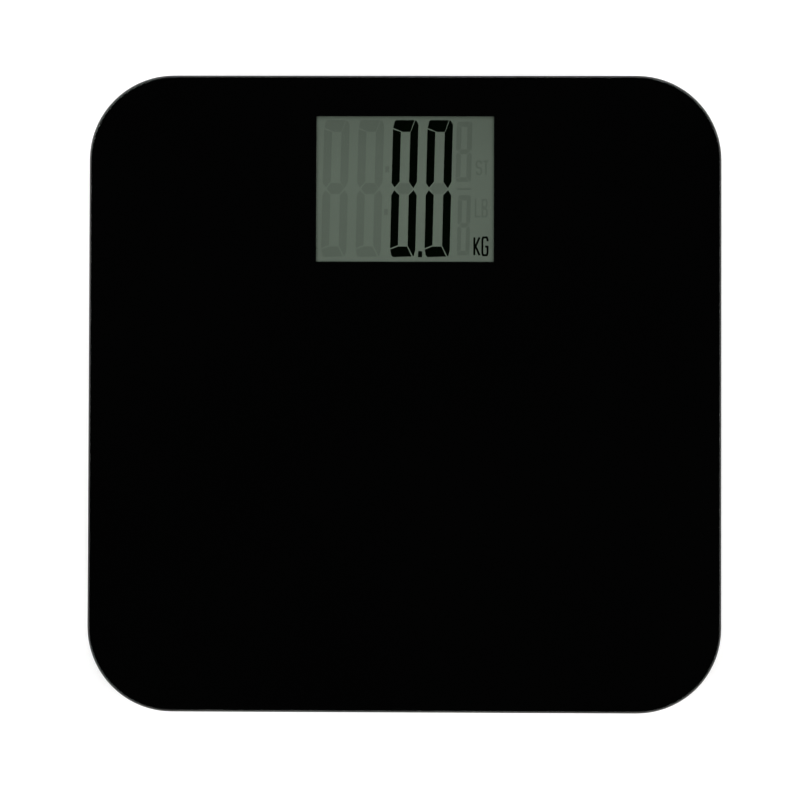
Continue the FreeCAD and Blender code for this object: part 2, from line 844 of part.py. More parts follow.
def lcd_holder():
    body = new_body("lcd_holder")
    inner_width = panel_width + 2 * s.holder_gap
    inner_length = panel_length + 2 * s.holder_gap
    outer_width = inner_width + 2 * s.holder_wall
    outer_length = inner_length + 2 * s.holder_wall
    frame = rounded(0, panel_y, outer_width, outer_length, length(2))
    pad(body, "Frame", board_top, s.panel_top, frame)
    seat = block(0, panel_y, inner_width, inner_length)
    pocket(body, "PanelSeat", shelf, s.panel_top + 1, seat)
    opening = block(0, panel_y, holder_opening_width, holder_opening_length)
    pocket(body, "Opening", board_top - 1, shelf, opening)
    slot_length = zebra_length + 2 * s.zebra_gap
    slot_width = s.zebra_width + 2 * s.zebra_gap
    slots = [
        block(0, panel_y + side * zebra_offset, slot_length, slot_width) for side in (-1, 1)
    ]
    pocket(body, "ZebraSlots", board_top - 1, shelf, *slots)
    lugs = []
    for x, y in board_screw_spots():
        near = x - s.lug_half if x.value > 0 else x + s.lug_half
        ends = sorted([near, 2 * x - near], key=lambda end: end.value)
        lugs.append(box(ends[0], ends[1], y - s.lug_half, y + s.lug_half))
    pad(body, "Lugs", board_top, board_top + s.lug_thickness, *lugs)
    inner = (panel_width + 2 * s.holder_gap) / 2 + s.holder_wall
    webs = [
        box(side * inner - 1, side * inner + 1, y - s.lug_half, y + s.lug_half)
        for side in (-1, 1)
        for y in (lug_front, lug_back)
    ]
    pad(body, "LugRoots", board_top, board_top + s.lug_thickness, *webs)
    holes = [disc(x, y, s.screw_hole_radius) for x, y in board_screw_spots()]
    pocket(body, "LugHoles", board_top - 1, board_top + s.lug_thickness, *holes)
    return body


def zebra_strips():
    body = new_body("zebra_strips")
    strips = [
        block(0, panel_y + side * zebra_offset, zebra_length, s.zebra_width)
        for side in (-1, 1)
    ]
    pad(body, "Strips", board_top, panel_ledge, *strips)
    return body


def main_board():
    body = new_body("main_board")
    outline = box(-board_half_width, board_half_width, board_front, board_back)
    pad(body, "Laminate", s.board_bottom, board_top, outline)
    holes = [disc(x, y, s.screw_hole_radius) for x, y in board_screw_spots()]
    pocket(body, "ScrewHoles", s.board_bottom - 1, board_top, *holes)
    return body


def chip_glob():
    body = new_body("chip_glob", 0, glob_y)
    side = s.glob_radius
    top = board_top + s.glob_height
    revolve(body, "Drop", [
        (length(0), board_top),
        (side, board_top),
        (side * 0.86, board_top + s.glob_height * 0.5),
        (side * 0.55, board_top + s.glob_height * 0.86),
        (length(0), top),
    ])
    return body


def board_parts():
    body = new_body("board_parts")
    y = chip_row_y
    resistors = [block(length(x), y, 2, 1.2) for x in (-22, -18, 8, 12, 16, 20, 24)]
    pad(body, "Resistors", board_top, board_top + 0.55, *resistors)
    capacitors = [block(length(x), y, 1.6, 2) for x in (-40, -36, 29, 33)]
    pad(body, "Capacitors", board_top, board_top + 1.1, *capacitors)
    chips = [block(length(42), y - 1, 5, 4), block(length(-46), y - 1, 4, 3)]
    pad(body, "Chips", board_top, board_top + 1.5, *chips)
    return body


def quartz_crystal():
    body = new_body("quartz_crystal")
    z = board_top + s.crystal_radius + 0.05
    half = s.crystal_length / 2
    tube = disc(crystal_y, z, s.crystal_radius)
    pad(body, "Can", s.crystal_x - half, s.crystal_x + half, tube, plane="YZ_Plane")
    return body


def button_switch():
    body = new_body("button_switch", s.button_x, button_y)
    side = s.switch_side
    pad(body, "Housing", s.switch_bottom, s.board_bottom, rounded(0, 0, side, side, length(0.6)))
    bore = disc(0, 0, s.plunger_radius + s.plunger_gap)
    pocket(body, "Bore", s.switch_bottom - 1, s.board_bottom, bore)
    return body


def switch_plunger():
    body = new_body("switch_plunger", s.button_x, button_y)
    low = floor_top + s.button_flange
    pad(body, "Stem", low, s.plunger_top, disc(0, 0, s.plunger_radius))
    return body


def unit_button():
    body = new_body("unit_button", s.button_x, button_y)
    pad(body, "Cap", s.button_low, floor_top, disc(0, 0, s.button_radius))
    ease(body, "Fillet", "CapEdge", s.button_low, length(0.6))
    top = floor_top + s.button_flange
    pad(body, "Flange", floor_top, top, disc(0, 0, button_flange_radius))
    return body


def negative_contact():
    # A leaf under the well's roof that bears on the middle of the cell's cap.
    body = new_body("negative_contact")
    thick = s.contact_thickness
    roof = s.well_roof
    bend = coin_y + 4
    leaf = polygon([
        (contact_tail_end, roof),
        (contact_tail_end, roof - thick),
        (bend, roof - thick),
        (coin_y + 1, coin_top),
        (coin_y - 1.5, coin_top),
        (coin_y - 1.5, coin_top + thick),
        (coin_y + 0.9, coin_top + thick),
        (bend - 0.1, roof),
    ])
    half = s.contact_width / 2
    pad(body, "Leaf", -half, half, leaf, plane="YZ_Plane")
    return body


def positive_contact():
    # A strip along the well's wall that bows in to the side of the cell's can.
    body = new_body("positive_contact")
    thick = s.contact_thickness
    wall = -well_half_width
    touch = 0 - s.coin_radius - 0.08
    leaf = polygon([
        (wall, coin_y - 8.5),
        (wall + thick, coin_y - 8.5),
        (wall + thick, coin_y - 6),
        (touch, coin_y - 1),
        (touch, coin_y + 1),
        (wall + thick, coin_y + 6),
        (wall + thick, contact_tail_end),
        (wall, contact_tail_end),
        (wall, coin_y + 5.9),
        (touch - thick, coin_y + 0.9),
        (touch - thick, coin_y - 0.9),
        (wall, coin_y - 5.9),
    ])
    pad(body, "Leaf", s.coin_bottom + 0.6, s.coin_bottom + 2.6, leaf)
    return body


def coin_cell_can():
    body = new_body("coin_cell_can", 0, coin_y)
    rim = coin_top - 0.3
    inner = s.coin_radius - s.coin_skin
    revolve(body, "Cup", [
        (length(0), s.coin_bottom),
        (s.coin_radius - 0.3, s.coin_bottom),
        (s.coin_radius, s.coin_bottom + 0.3),
        (s.coin_radius, rim),
        (inner, rim),
        (inner, s.coin_bottom + s.coin_skin),
        (length(0), s.coin_bottom + s.coin_skin),
    ])
    sign = plus(length(0), s.coin_radius * 0.62, length(2.6), length(0.6))
    pocket(body, "PlusSign", s.coin_bottom - 1, s.coin_bottom + 0.1, sign)
    return body


def coin_cell_gasket():
    body = new_body("coin_cell_gasket", 0, coin_y)
    outer = s.coin_radius - s.coin_skin - 0.05
    inner = outer - 0.5
    low = s.coin_bottom + s.coin_skin
    top = coin_top - 0.2
    revolve(body, "Ring", [(inner, low), (outer, low), (outer, top), (inner, top)])
    return body


def coin_cell_cap():
    body = new_body("coin_cell_cap", 0, coin_y)
    outer = s.coin_radius - s.coin_skin - 0.6
    low = s.coin_bottom + s.coin_skin
    revolve(body, "Cap", [
        (length(0), low),
        (outer, low),
        (outer, coin_top - 0.3),
        (outer - 0.3, coin_top),
        (length(0), coin_top),
    ])
    return body


def battery_door():
    body = new_body("battery_door")
    half = well_half_width - s.door_gap
    top = s.tray_bottom + s.door_thickness
    plate = box(-half, half, well_front + s.door_gap, hinge_y)
    pad(body, "Plate", s.tray_bottom, top, plate)
    pad(body, "Barrel", -half, half, disc(hinge_y, s.hinge_z, s.barrel_radius), plane="YZ_Plane")
    reach = half + s.pin_length
    pad(body, "Pins", -reach, reach, disc(hinge_y, s.hinge_z, s.pin_radius), plane="YZ_Plane")
    pad(body, "ScrewBoss", top, top + s.door_boss, disc(0, door_screw_y, s.door_boss_radius))
    recess = disc(0, door_screw_y, s.door_screw_recess)
    pocket(body, "HeadRecess", s.tray_bottom - 1, s.door_screw_seat, recess)
    hole = disc(0, door_screw_y, s.door_screw_radius + s.door_screw_gap)
    pocket(body, "ScrewHole", s.tray_bottom - 1, top + s.door_boss, hole)
    grips = [
        block(0, coin_y + number * s.grip_pitch, s.grip_length, s.grip_width)
        for number in (-1, 0, 1)
    ]
    pocket(body, "Grips", s.tray_bottom - 1, s.tray_bottom + s.grip_depth, *grips)
    return body


def door_screw():
    body = new_body("door_screw", 0, door_screw_y)
    low = s.door_screw_head_low
    revolve(body, "Shape", [
        (length(0), low),
        (s.door_screw_head_radius - 0.3, low),
        (s.door_screw_head_radius, low + 0.3),
        (s.door_screw_head_radius, s.door_screw_seat),
        (s.door_screw_radius, s.door_screw_seat),
        (s.door_screw_radius, s.door_screw_top - 0.5),
        (s.door_screw_radius - 0.5, s.door_screw_top),
        (length(0), s.door_screw_top),
    ])
    drive = plus(length(0), length(0), s.screw_drive, s.screw_drive_width)
    pocket(body, "Drive", low - 1, low + s.screw_drive_depth, drive)
    return body


def rounded_path(points, bend):
    # Straight runs joined by arcs that are tangent to both of their neighbours.
    pieces = []
    start = points[0]
    for before, corner, after in zip(points, points[1:], points[2:]):
        coming = (corner - before).normalize()
        going = (after - corner).normalize()
        turn = coming.getAngle(going)
        trim = bend * math.tan(turn / 2)
        leave = corner - coming * trim
        join = corner + going * trim
        inward = (going - coming).normalize()
        middle = corner + inward * (bend / math.cos(turn / 2) - bend)
        if (leave - start).Length > 1e-6:
            pieces.append(Part.LineSegment(start, leave).toShape())
        pieces.append(Part.Arc(leave, middle, join).toShape())
        start = join
    pieces.append(Part.LineSegment(start, points[-1]).toShape())
    return Part.Wire(pieces)


def lead_solid(points, radius, bend):
    path = rounded_path([FreeCAD.Vector(*point) for point in points], bend)
    along = FreeCAD.Vector(*points[1]) - FreeCAD.Vector(*points[0])
    circle = Part.Circle(FreeCAD.Vector(*points[0]), along, radius)
    profile = Part.Wire([circle.toShape()])
    solid = path.makePipeShell([profile], True, False)
    expected = math.pi * radius ** 2 * path.Length
    if abs(solid.Volume - expected) > 0.01 * expected:
        raise RuntimeError("a lead's volume differs from its section times its length")
    return solid


def lead_group(label, paths):
    solids = [lead_solid(path, s.lead_radius.value, s.lead_bend.value) for path in paths]
    group = doc.addObject("Part::Feature", label)
    group.Label = label
    group.Shape = Part.makeCompound(solids)
    group.Placement = FreeCAD.Placement()
    return group


def cell_leads(corner):
    # Three leads side by side: out of the bracket's notch, down to the floor, along the corridor
    # between the ribs, and up on to the edge of the board.
    side_x, side_y = CORNERS[corner]
    x = foot_x.value
    start = side_y * (foot_y.value - cell_neck_y.value - 1.8)
    drop = side_y * lead_drop_y.value
    turn = side_y * lead_turn_y.value
    high = s.lead_height.value
    low = floor_top.value + s.lead_radius.value + s.lead_floor_gap.value
    land = board_top.value + s.lead_radius.value + s.lead_floor_gap.value
    rise = lead_rise_x.value
    end = lead_landing_x.value
    paths = []
    for number in (-1, 0, 1):
        shift = number * s.lead_pitch.value
        turn_y = turn - side_y * shift
        path = [(x + shift, start, high), (x + shift, drop, high), (x + shift, drop, low)]
        path.append((x + shift, turn_y, low))
        last_y = turn_y
        if side_y < 0:
            corridor = lead_corridor_x.value + shift
            last_y = lead_front_landing.value + shift
            path += [(corridor, turn_y, low), (corridor, last_y, low)]
        path += [(rise, last_y, low), (rise, last_y, land), (end, last_y, land)]
        paths.append([(side_x * px, py, pz) for px, py, pz in path])
    return lead_group(f"cell_leads_{corner}", paths)


def battery_leads():
    clear = s.lead_radius.value + s.lead_floor_gap.value
    tail = contact_tail_end.value - 2.2
    land = board_top.value + clear
    end = board_front.value + 3.5
    top = s.well_roof.value + clear
    side = -well_half_width.value - clear
    low = s.coin_bottom.value + 1.6
    negative = [(0, tail, top), (0, tail + 7, top), (0, end - 6, land), (0, end, land)]
    positive = [(side, tail, low), (side, tail + 7, low), (side, end - 6, land), (side, end, land)]
    return lead_group("battery_leads", [negative, positive])


def build_parts():
    parts = [
        glass_platform(),
        black_back_print(),
        mounting_tape(),
        base_tray(),
        rating_label(),
        window_gasket(),
        lcd_front_polarizer(),
        lcd_glass_cell(),
        lcd_reflector(),
        lcd_holder(),
        zebra_strips(),
        main_board(),
        chip_glob(),
        board_parts(),
        quartz_crystal(),
        board_screws(),
        button_switch(),
        switch_plunger(),
        unit_button(),
        negative_contact(),
        positive_contact(),
        coin_cell_can(),
        coin_cell_gasket(),
        coin_cell_cap(),
        battery_door(),
        door_screw(),
        battery_leads(),
        bracket_screws(),
    ]
    for corner in CORNERS:
        parts += [
            foot(corner),
            foot_pad(corner),
            load_cell(corner),
            strain_gauge(corner),
            cell_bracket(corner),
            cell_leads(corner),
        ]
    return parts


def check_document(parts):
    doc.recompute()
    for item in doc.Objects:
        if "Invalid" in item.State or "Error" in item.State:
            raise RuntimeError(f"{item.Label} failed: {item.State}")
    for part in parts:
        if part.Shape.isNull() or not part.Shape.isValid():
            raise RuntimeError(f"{part.Label} has no valid shape")


def write_parts(parts):
    os.makedirs("parts", exist_ok=True)
    for part in parts:
        part.Shape.exportStep(f"parts/{part.Label}.step")
        bounds = part.Shape.BoundBox
        count = len(part.Shape.Solids)
        size = f"{bounds.XLength:.1f} x {bounds.YLength:.1f} x {bounds.ZLength:.2f}"
        print(f"{part.Label}: {count} solid(s), {size}, z {bounds.ZMin:.2f} to {bounds.ZMax:.2f}")


finished = build_parts()
check_document(finished)
write_parts(finished)
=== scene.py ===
import math
import bmesh
import bpy
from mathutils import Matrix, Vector


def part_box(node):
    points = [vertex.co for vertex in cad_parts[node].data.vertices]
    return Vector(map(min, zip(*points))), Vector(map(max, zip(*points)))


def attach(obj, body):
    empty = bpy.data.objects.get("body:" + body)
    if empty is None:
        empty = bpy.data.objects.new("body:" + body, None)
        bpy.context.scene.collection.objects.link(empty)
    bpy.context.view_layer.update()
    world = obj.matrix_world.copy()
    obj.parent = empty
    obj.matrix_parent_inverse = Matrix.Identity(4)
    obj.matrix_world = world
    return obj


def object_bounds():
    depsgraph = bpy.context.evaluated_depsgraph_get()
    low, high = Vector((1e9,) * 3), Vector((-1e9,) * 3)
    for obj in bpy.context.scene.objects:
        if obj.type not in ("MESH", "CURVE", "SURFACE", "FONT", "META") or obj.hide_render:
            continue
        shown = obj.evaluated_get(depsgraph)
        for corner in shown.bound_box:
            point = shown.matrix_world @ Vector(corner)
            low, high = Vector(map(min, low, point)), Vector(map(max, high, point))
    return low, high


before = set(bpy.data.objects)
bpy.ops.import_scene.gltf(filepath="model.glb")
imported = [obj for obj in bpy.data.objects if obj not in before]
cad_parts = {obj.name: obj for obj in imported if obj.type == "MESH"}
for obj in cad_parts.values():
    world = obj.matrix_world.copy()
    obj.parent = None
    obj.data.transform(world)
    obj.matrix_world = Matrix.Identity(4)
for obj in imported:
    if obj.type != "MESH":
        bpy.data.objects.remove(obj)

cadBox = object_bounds()
corners = ("front_left", "front_right", "rear_left", "rear_right")
mm = 0.001
white = (1.0, 1.0, 1.0, 1.0)
numberSocket = "NodeSocketFloat"
colourSocket = "NodeSocketColor"
noiseSpan = (0.3, 0.7)     # where nearly all of a noise texture's values lie


def rgba(values):
    return (*values[:3], 1.0)


# helpers that add nodes to a material's or a group's tree

def addNode(tree, kind, **settings):
    node = tree.nodes.new(kind)
    for name, value in settings.items():
        setattr(node, name, value)
    return node


def feed(tree, target, source):
    # a socket is linked, anything else is set as the socket's own value
    if isinstance(source, bpy.types.NodeSocket):
        tree.links.new(source, target)
    else:
        target.default_value = source


def mathNode(tree, operation, first, second=0.0, clamp=False):
    node = addNode(tree, "ShaderNodeMath", operation=operation, use_clamp=clamp)
    feed(tree, node.inputs[0], first)
    feed(tree, node.inputs[1], second)
    return node.outputs[0]


def multiply(tree, first, second, clamp=False):
    return mathNode(tree, "MULTIPLY", first, second, clamp)


def add(tree, first, second, clamp=False):
    return mathNode(tree, "ADD", first, second, clamp)


def remap(tree, value, lowIn, highIn, lowOut, highOut):
    node = addNode(tree, "ShaderNodeMapRange")
    feed(tree, node.inputs["Value"], value)
    feed(tree, node.inputs["From Min"], lowIn)
    feed(tree, node.inputs["From Max"], highIn)
    feed(tree, node.inputs["To Min"], lowOut)
    feed(tree, node.inputs["To Max"], highOut)
    return node.outputs["Result"]


def mixColour(tree, share, first, second):
    node = addNode(tree, "ShaderNodeMix", data_type="RGBA")
    feed(tree, node.inputs["Factor"], share)
    feed(tree, node.inputs["A"], first)
    feed(tree, node.inputs["B"], second)
    return node.outputs["Result"]


def scaleColour(tree, tone, level):
    node = addNode(tree, "ShaderNodeVectorMath", operation="SCALE")
    feed(tree, node.inputs[0], tone)
    feed(tree, node.inputs["Scale"], level)
    return node.outputs["Vector"]


def noiseNode(tree, place, scale, detail=3.0, rough=0.5):
    node = addNode(tree, "ShaderNodeTexNoise")
    feed(tree, node.inputs["Vector"], place)
    feed(tree, node.inputs["Scale"], scale)
    node.inputs["Detail"].default_value = detail
    node.inputs["Roughness"].default_value = rough
    return node.outputs["Fac"]


def objectPlace(tree):
    return addNode(tree, "ShaderNodeTexCoord").outputs["Object"]


def splitVector(tree, vector):
    node = addNode(tree, "ShaderNodeSeparateXYZ")
    feed(tree, node.inputs[0], vector)
    return node.outputs


def facing(tree):
    # how far the surface faces up, from 1 to -1
    return splitVector(tree, addNode(tree, "ShaderNodeTexCoord").outputs["Normal"])["Z"]


def startGroup(name, inputs, outputs):
    tree = bpy.data.node_groups.new(name, "ShaderNodeTree")
    for label, kind, value in inputs:
        socket = tree.interface.new_socket(name=label, in_out="INPUT", socket_type=kind)
        socket.default_value = value
    for label, kind in outputs:
        tree.interface.new_socket(name=label, in_out="OUTPUT", socket_type=kind)
    entry = tree.nodes.new("NodeGroupInput")
    leave = tree.nodes.new("NodeGroupOutput")
    return tree, entry.outputs, leave.inputs


def placeGroup(tree, group, **values):
    node = addNode(tree, "ShaderNodeGroup", node_tree=group)
    for name, value in values.items():
        feed(tree, node.inputs[name], value)
    return node.outputs


# effects that several finishes share

def makeFineGrain():
    # spark-eroded tool grain: small soft pits, with slow patches where the grain is deeper
    look = {"softness": 0.6, "pitShare": 0.6, "fineScale": 0.55, "shallowest": 0.7}
    tree, entry, leave = startGroup(
        "fineGrain",
        [("Scale", numberSocket, 2200.0), ("Patch Scale", numberSocket, 35.0)],
        [("Height", numberSocket), ("Patches", numberSocket)],
    )
    place = objectPlace(tree)
    pits = addNode(tree, "ShaderNodeTexVoronoi", feature="SMOOTH_F1")
    feed(tree, pits.inputs["Vector"], place)
    feed(tree, pits.inputs["Scale"], entry["Scale"])
    pits.inputs["Smoothness"].default_value = look["softness"]
    fineScale = multiply(tree, entry["Scale"], look["fineScale"])
    fine = noiseNode(tree, place, fineScale, detail=4.0, rough=0.6)
    patches = noiseNode(tree, place, entry["Patch Scale"], rough=0.55)
    depth = remap(tree, patches, *noiseSpan, look["shallowest"], 1.0)
    grain = add(tree, multiply(tree, pits.outputs["Distance"], look["pitShare"]), fine)
    feed(tree, leave["Height"], multiply(tree, grain, depth))
    feed(tree, leave["Patches"], remap(tree, patches, *noiseSpan, 0.0, 1.0))
    return tree


def makeEdgeWear():
    # corners and rims where handling has polished or paled the surface
    look = {"sharpTurn": 0.88, "brokenSpan": (0.38, 0.62), "leastWear": 0.15}
    tree, entry, leave = startGroup(
        "edgeWear",
        [("Width", numberSocket, 0.0006), ("Amount", numberSocket, 1.0),
         ("Break Scale", numberSocket, 260.0)],
        [("Mask", numberSocket)],
    )
    bevel = addNode(tree, "ShaderNodeBevel", samples=4)
    feed(tree, bevel.inputs["Radius"], entry["Width"])
    straight = addNode(tree, "ShaderNodeNewGeometry").outputs["Normal"]
    dot = addNode(tree, "ShaderNodeVectorMath", operation="DOT_PRODUCT")
    feed(tree, dot.inputs[0], bevel.outputs["Normal"])
    feed(tree, dot.inputs[1], straight)
    turned = remap(tree, dot.outputs["Value"], 1.0, look["sharpTurn"], 0.0, 1.0)
    rubbed = noiseNode(tree, objectPlace(tree), entry["Break Scale"], detail=4.0, rough=0.65)
    broken = remap(tree, rubbed, *look["brokenSpan"], look["leastWear"], 1.0)
    feed(tree, leave["Mask"], multiply(tree, multiply(tree, turned, broken), entry["Amount"], True))
    return tree


def makeSettledDust():
    # pale dust and lint that stays in patches
    look = {"cloudSpan": (0.45, 0.75), "cloudShare": 0.5, "speckScale": 14.0, "speckSize": 0.13}
    tree, entry, leave = startGroup(
        "settledDust",
        [("Amount", numberSocket, 0.2), ("Scale", numberSocket, 60.0)],
        [("Mask", numberSocket)],
    )
    place = objectPlace(tree)
    clouds = noiseNode(tree, place, entry["Scale"], detail=6.0, rough=0.7)
    cloud = remap(tree, clouds, *look["cloudSpan"], 0.0, 1.0)
    specks = addNode(tree, "ShaderNodeTexVoronoi", feature="F1")
    feed(tree, specks.inputs["Vector"], place)
    feed(tree, specks.inputs["Scale"], multiply(tree, entry["Scale"], look["speckScale"]))
    dots = remap(tree, specks.outputs["Distance"], 0.0, look["speckSize"], 1.0, 0.0)
    both = add(tree, multiply(tree, cloud, look["cloudShare"]), multiply(tree, dots, cloud))
    feed(tree, leave["Mask"], multiply(tree, both, entry["Amount"], True))
    return tree


def makeColourDrift():
    # slow, slight change of lightness over a surface
    tree, entry, leave = startGroup(
        "colourDrift",
        [("Colour", colourSocket, white), ("Spread", numberSocket, 0.1), ("Scale", numberSocket, 20.0)],
        [("Colour", colourSocket)],
    )
    slow = noiseNode(tree, objectPlace(tree), entry["Scale"], detail=4.0, rough=0.6)
    low = mathNode(tree, "SUBTRACT", 1.0, entry["Spread"])
    high = add(tree, 1.0, entry["Spread"])
    level = remap(tree, slow, *noiseSpan, low, high)
    feed(tree, leave["Colour"], scaleColour(tree, entry["Colour"], level))
    return tree


def makeRolledStreaks():
    # fine lines left along one direction by rolling, drawing or turning, over small dull blotches
    blotchScale = 400.0
    tree, entry, leave = startGroup(
        "rolledStreaks",
        [("Across", numberSocket, 3500.0), ("Along", numberSocket, 60.0)],
        [("Height", numberSocket), ("Blotch", numberSocket)],
    )
    parts = splitVector(tree, objectPlace(tree))
    joined = addNode(tree, "ShaderNodeCombineXYZ")
    for axis, stretch in (("X", "Along"), ("Y", "Across"), ("Z", "Across")):
        feed(tree, joined.inputs[axis], multiply(tree, parts[axis], entry[stretch]))
    feed(tree, leave["Height"], noiseNode(tree, joined.outputs[0], 1.0, rough=0.6))
    feed(tree, leave["Blotch"], noiseNode(tree, objectPlace(tree), blotchScale, rough=0.6))
    return tree


def makeHandSmudges():
    # faint wiped films and prints on polished glass
    look = {"filmSpan": (0.5, 0.78), "wipeScale": 9.0, "wipeSpan": (0.4, 0.7), "leastFilm": 0.3}
    tree, entry, leave = startGroup(
        "handSmudges",
        [("Scale", numberSocket, 14.0), ("Amount", numberSocket, 1.0)],
        [("Mask", numberSocket)],
    )
    place = objectPlace(tree)
    films = noiseNode(tree, place, entry["Scale"], detail=5.0, rough=0.6)
    film = remap(tree, films, *look["filmSpan"], 0.0, 1.0)
    wipeScale = multiply(tree, entry["Scale"], look["wipeScale"])
    wiped = noiseNode(tree, place, wipeScale, detail=4.0, rough=0.7)
    streak = remap(tree, wiped, *look["wipeSpan"], look["leastFilm"], 1.0)
    feed(tree, leave["Mask"], multiply(tree, multiply(tree, film, streak), entry["Amount"], True))
    return tree


fineGrain = makeFineGrain()
edgeWear = makeEdgeWear()
settledDust = makeSettledDust()
colourDrift = makeColourDrift()
rolledStreaks = makeRolledStreaks()
handSmudges = makeHandSmudges()
print("shared effects made")


# finishes: each maker takes the dictionary of a part or holds its own

def showSurface(tree, shader):
    out = tree.get_output_node("ALL") or addNode(tree, "ShaderNodeOutputMaterial")
    tree.links.new(shader, out.inputs["Surface"])


def startMaterial(name, plain):
    material = bpy.data.materials.new(name)
    material.use_nodes = True
    material.diffuse_color = rgba(plain)
    tree = material.node_tree
    tree.nodes.clear()
    surface = addNode(tree, "ShaderNodeBsdfPrincipled")
    showSurface(tree, surface.outputs[0])
    return material, tree, surface


def dress(material, *nodeNames):
    for name in nodeNames:
        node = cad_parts[name]
        if not node.material_slots:
            node.data.materials.append(material)
        for slot in node.material_slots:
            slot.material = material


def everyCorner(kind):
    return [f"{kind}_{corner}" for corner in corners]


def bumpFrom(tree, height, strength, depth):
    bump = addNode(tree, "ShaderNodeBump")
    bump.inputs["Strength"].default_value = strength
    bump.inputs["Distance"].default_value = depth
    feed(tree, bump.inputs["Height"], height)
    return bump.outputs["Normal"]


# what every moulded plastic here has in common, unless its own dictionary says otherwise
plainPlastic = {
    "driftScale": 24.0,
    "dustScale": 55.0,
    "dustColour": (0.34, 0.33, 0.31),
    "dustRoughness": 0.3,      # added where dust lies
    "wornPolish": 0.12,        # taken off where the plastic is rubbed
    "grainDepth": 0.00006,
    "ior": 1.5,
}


def mouldedPlastic(name, ownLook):
    look = {**plainPlastic, **ownLook}
    material, tree, surface = startMaterial(name, look["colour"])
    grain = placeGroup(tree, fineGrain, Scale=look["grainScale"])
    plain = rgba(look["colour"])
    body = placeGroup(tree, colourDrift, Colour=plain, Spread=look["drift"], Scale=look["driftScale"])
    worn = placeGroup(tree, edgeWear, Width=look["wearWidth"], Amount=look["wear"])
    dust = placeGroup(tree, settledDust, Amount=look["dust"], Scale=look["dustScale"])
    tone = mixColour(tree, worn["Mask"], body["Colour"], rgba(look["wornColour"]))
    tone = mixColour(tree, dust["Mask"], tone, rgba(look["dustColour"]))
    feed(tree, surface.inputs["Base Color"], tone)
    rough = remap(tree, grain["Patches"], 0.0, 1.0, *look["roughness"])
    rough = mathNode(tree, "SUBTRACT", rough, multiply(tree, worn["Mask"], look["wornPolish"]))
    rough = add(tree, rough, multiply(tree, dust["Mask"], look["dustRoughness"]), True)
    feed(tree, surface.inputs["Roughness"], rough)
    relief = bumpFrom(tree, grain["Height"], look["grainStrength"], look["grainDepth"])
    feed(tree, surface.inputs["Normal"], relief)
    surface.inputs["IOR"].default_value = look["ior"]
    return material


# what the rubber, foam and gel parts have in common
plainRubber = {"driftScale": 30.0, "dustScale": 90.0, "grainDepth": 0.00008, "sheenRoughness": 0.5}


def softRubber(name, ownLook):
    look = {**plainRubber, **ownLook}
    material, tree, surface = startMaterial(name, look["colour"])
    grain = placeGroup(tree, fineGrain, Scale=look["grainScale"])
    plain = rgba(look["colour"])
    body = placeGroup(tree, colourDrift, Colour=plain, Spread=look["drift"], Scale=look["driftScale"])
    dust = placeGroup(tree, settledDust, Amount=look["dust"], Scale=look["dustScale"])
    tone = mixColour(tree, dust["Mask"], body["Colour"], rgba(look["dustColour"]))
    feed(tree, surface.inputs["Base Color"], tone)
    feed(tree, surface.inputs["Roughness"], remap(tree, grain["Patches"], 0.0, 1.0, *look["roughness"]))
    relief = bumpFrom(tree, grain["Height"], look["grainStrength"], look["grainDepth"])
    feed(tree, surface.inputs["Normal"], relief)
    surface.inputs["Sheen Weight"].default_value = look["sheen"]
    surface.inputs["Sheen Roughness"].default_value = look["sheenRoughness"]
    return material


# what the sheet and turned metals have in common
plainMetal = {"lineDepth": 0.00002, "dullSpan": (0.35, 0.7), "roughSpan": (0.35, 0.65)}


def sheetMetal(name, ownLook):
    look = {**plainMetal, **ownLook}
    material, tree, surface = startMaterial(name, look["colour"])
    streaks = placeGroup(tree, rolledStreaks, Across=look["across"], Along=look["along"])
    worn = placeGroup(tree, edgeWear, Width=look["wearWidth"], Amount=look["wear"])
    dull = remap(tree, streaks["Blotch"], *look["dullSpan"], 0.0, 1.0)
    tone = mixColour(tree, dull, rgba(look["colour"]), rgba(look["dullColour"]))
    tone = mixColour(tree, worn["Mask"], tone, rgba(look["brightColour"]))
    feed(tree, surface.inputs["Base Color"], tone)
    shade = multiply(tree, add(tree, streaks["Height"], streaks["Blotch"]), 0.5)
    rough = remap(tree, shade, *look["roughSpan"], *look["roughness"])
    feed(tree, surface.inputs["Roughness"], rough)
    relief = bumpFrom(tree, streaks["Height"], look["lineStrength"], look["lineDepth"])
    feed(tree, surface.inputs["Normal"], relief)
    surface.inputs["Metallic"].default_value = 1.0
    return material


def letThrough(tree, surface, tint):
    # soft light passes straight through this glass on to what lies behind it
    clear = addNode(tree, "ShaderNodeBsdfTransparent")
    clear.inputs["Color"].default_value = rgba(tint)
    mixer = addNode(tree, "ShaderNodeMixShader")
    path = addNode(tree, "ShaderNodeLightPath").outputs
    soft = mathNode(tree, "MAXIMUM", path["Is Shadow Ray"], path["Is Diffuse Ray"])
    tree.links.new(soft, mixer.inputs["Fac"])
    tree.links.new(surface.outputs[0], mixer.inputs[1])
    tree.links.new(clear.outputs[0], mixer.inputs[2])
    showSurface(tree, mixer.outputs[0])


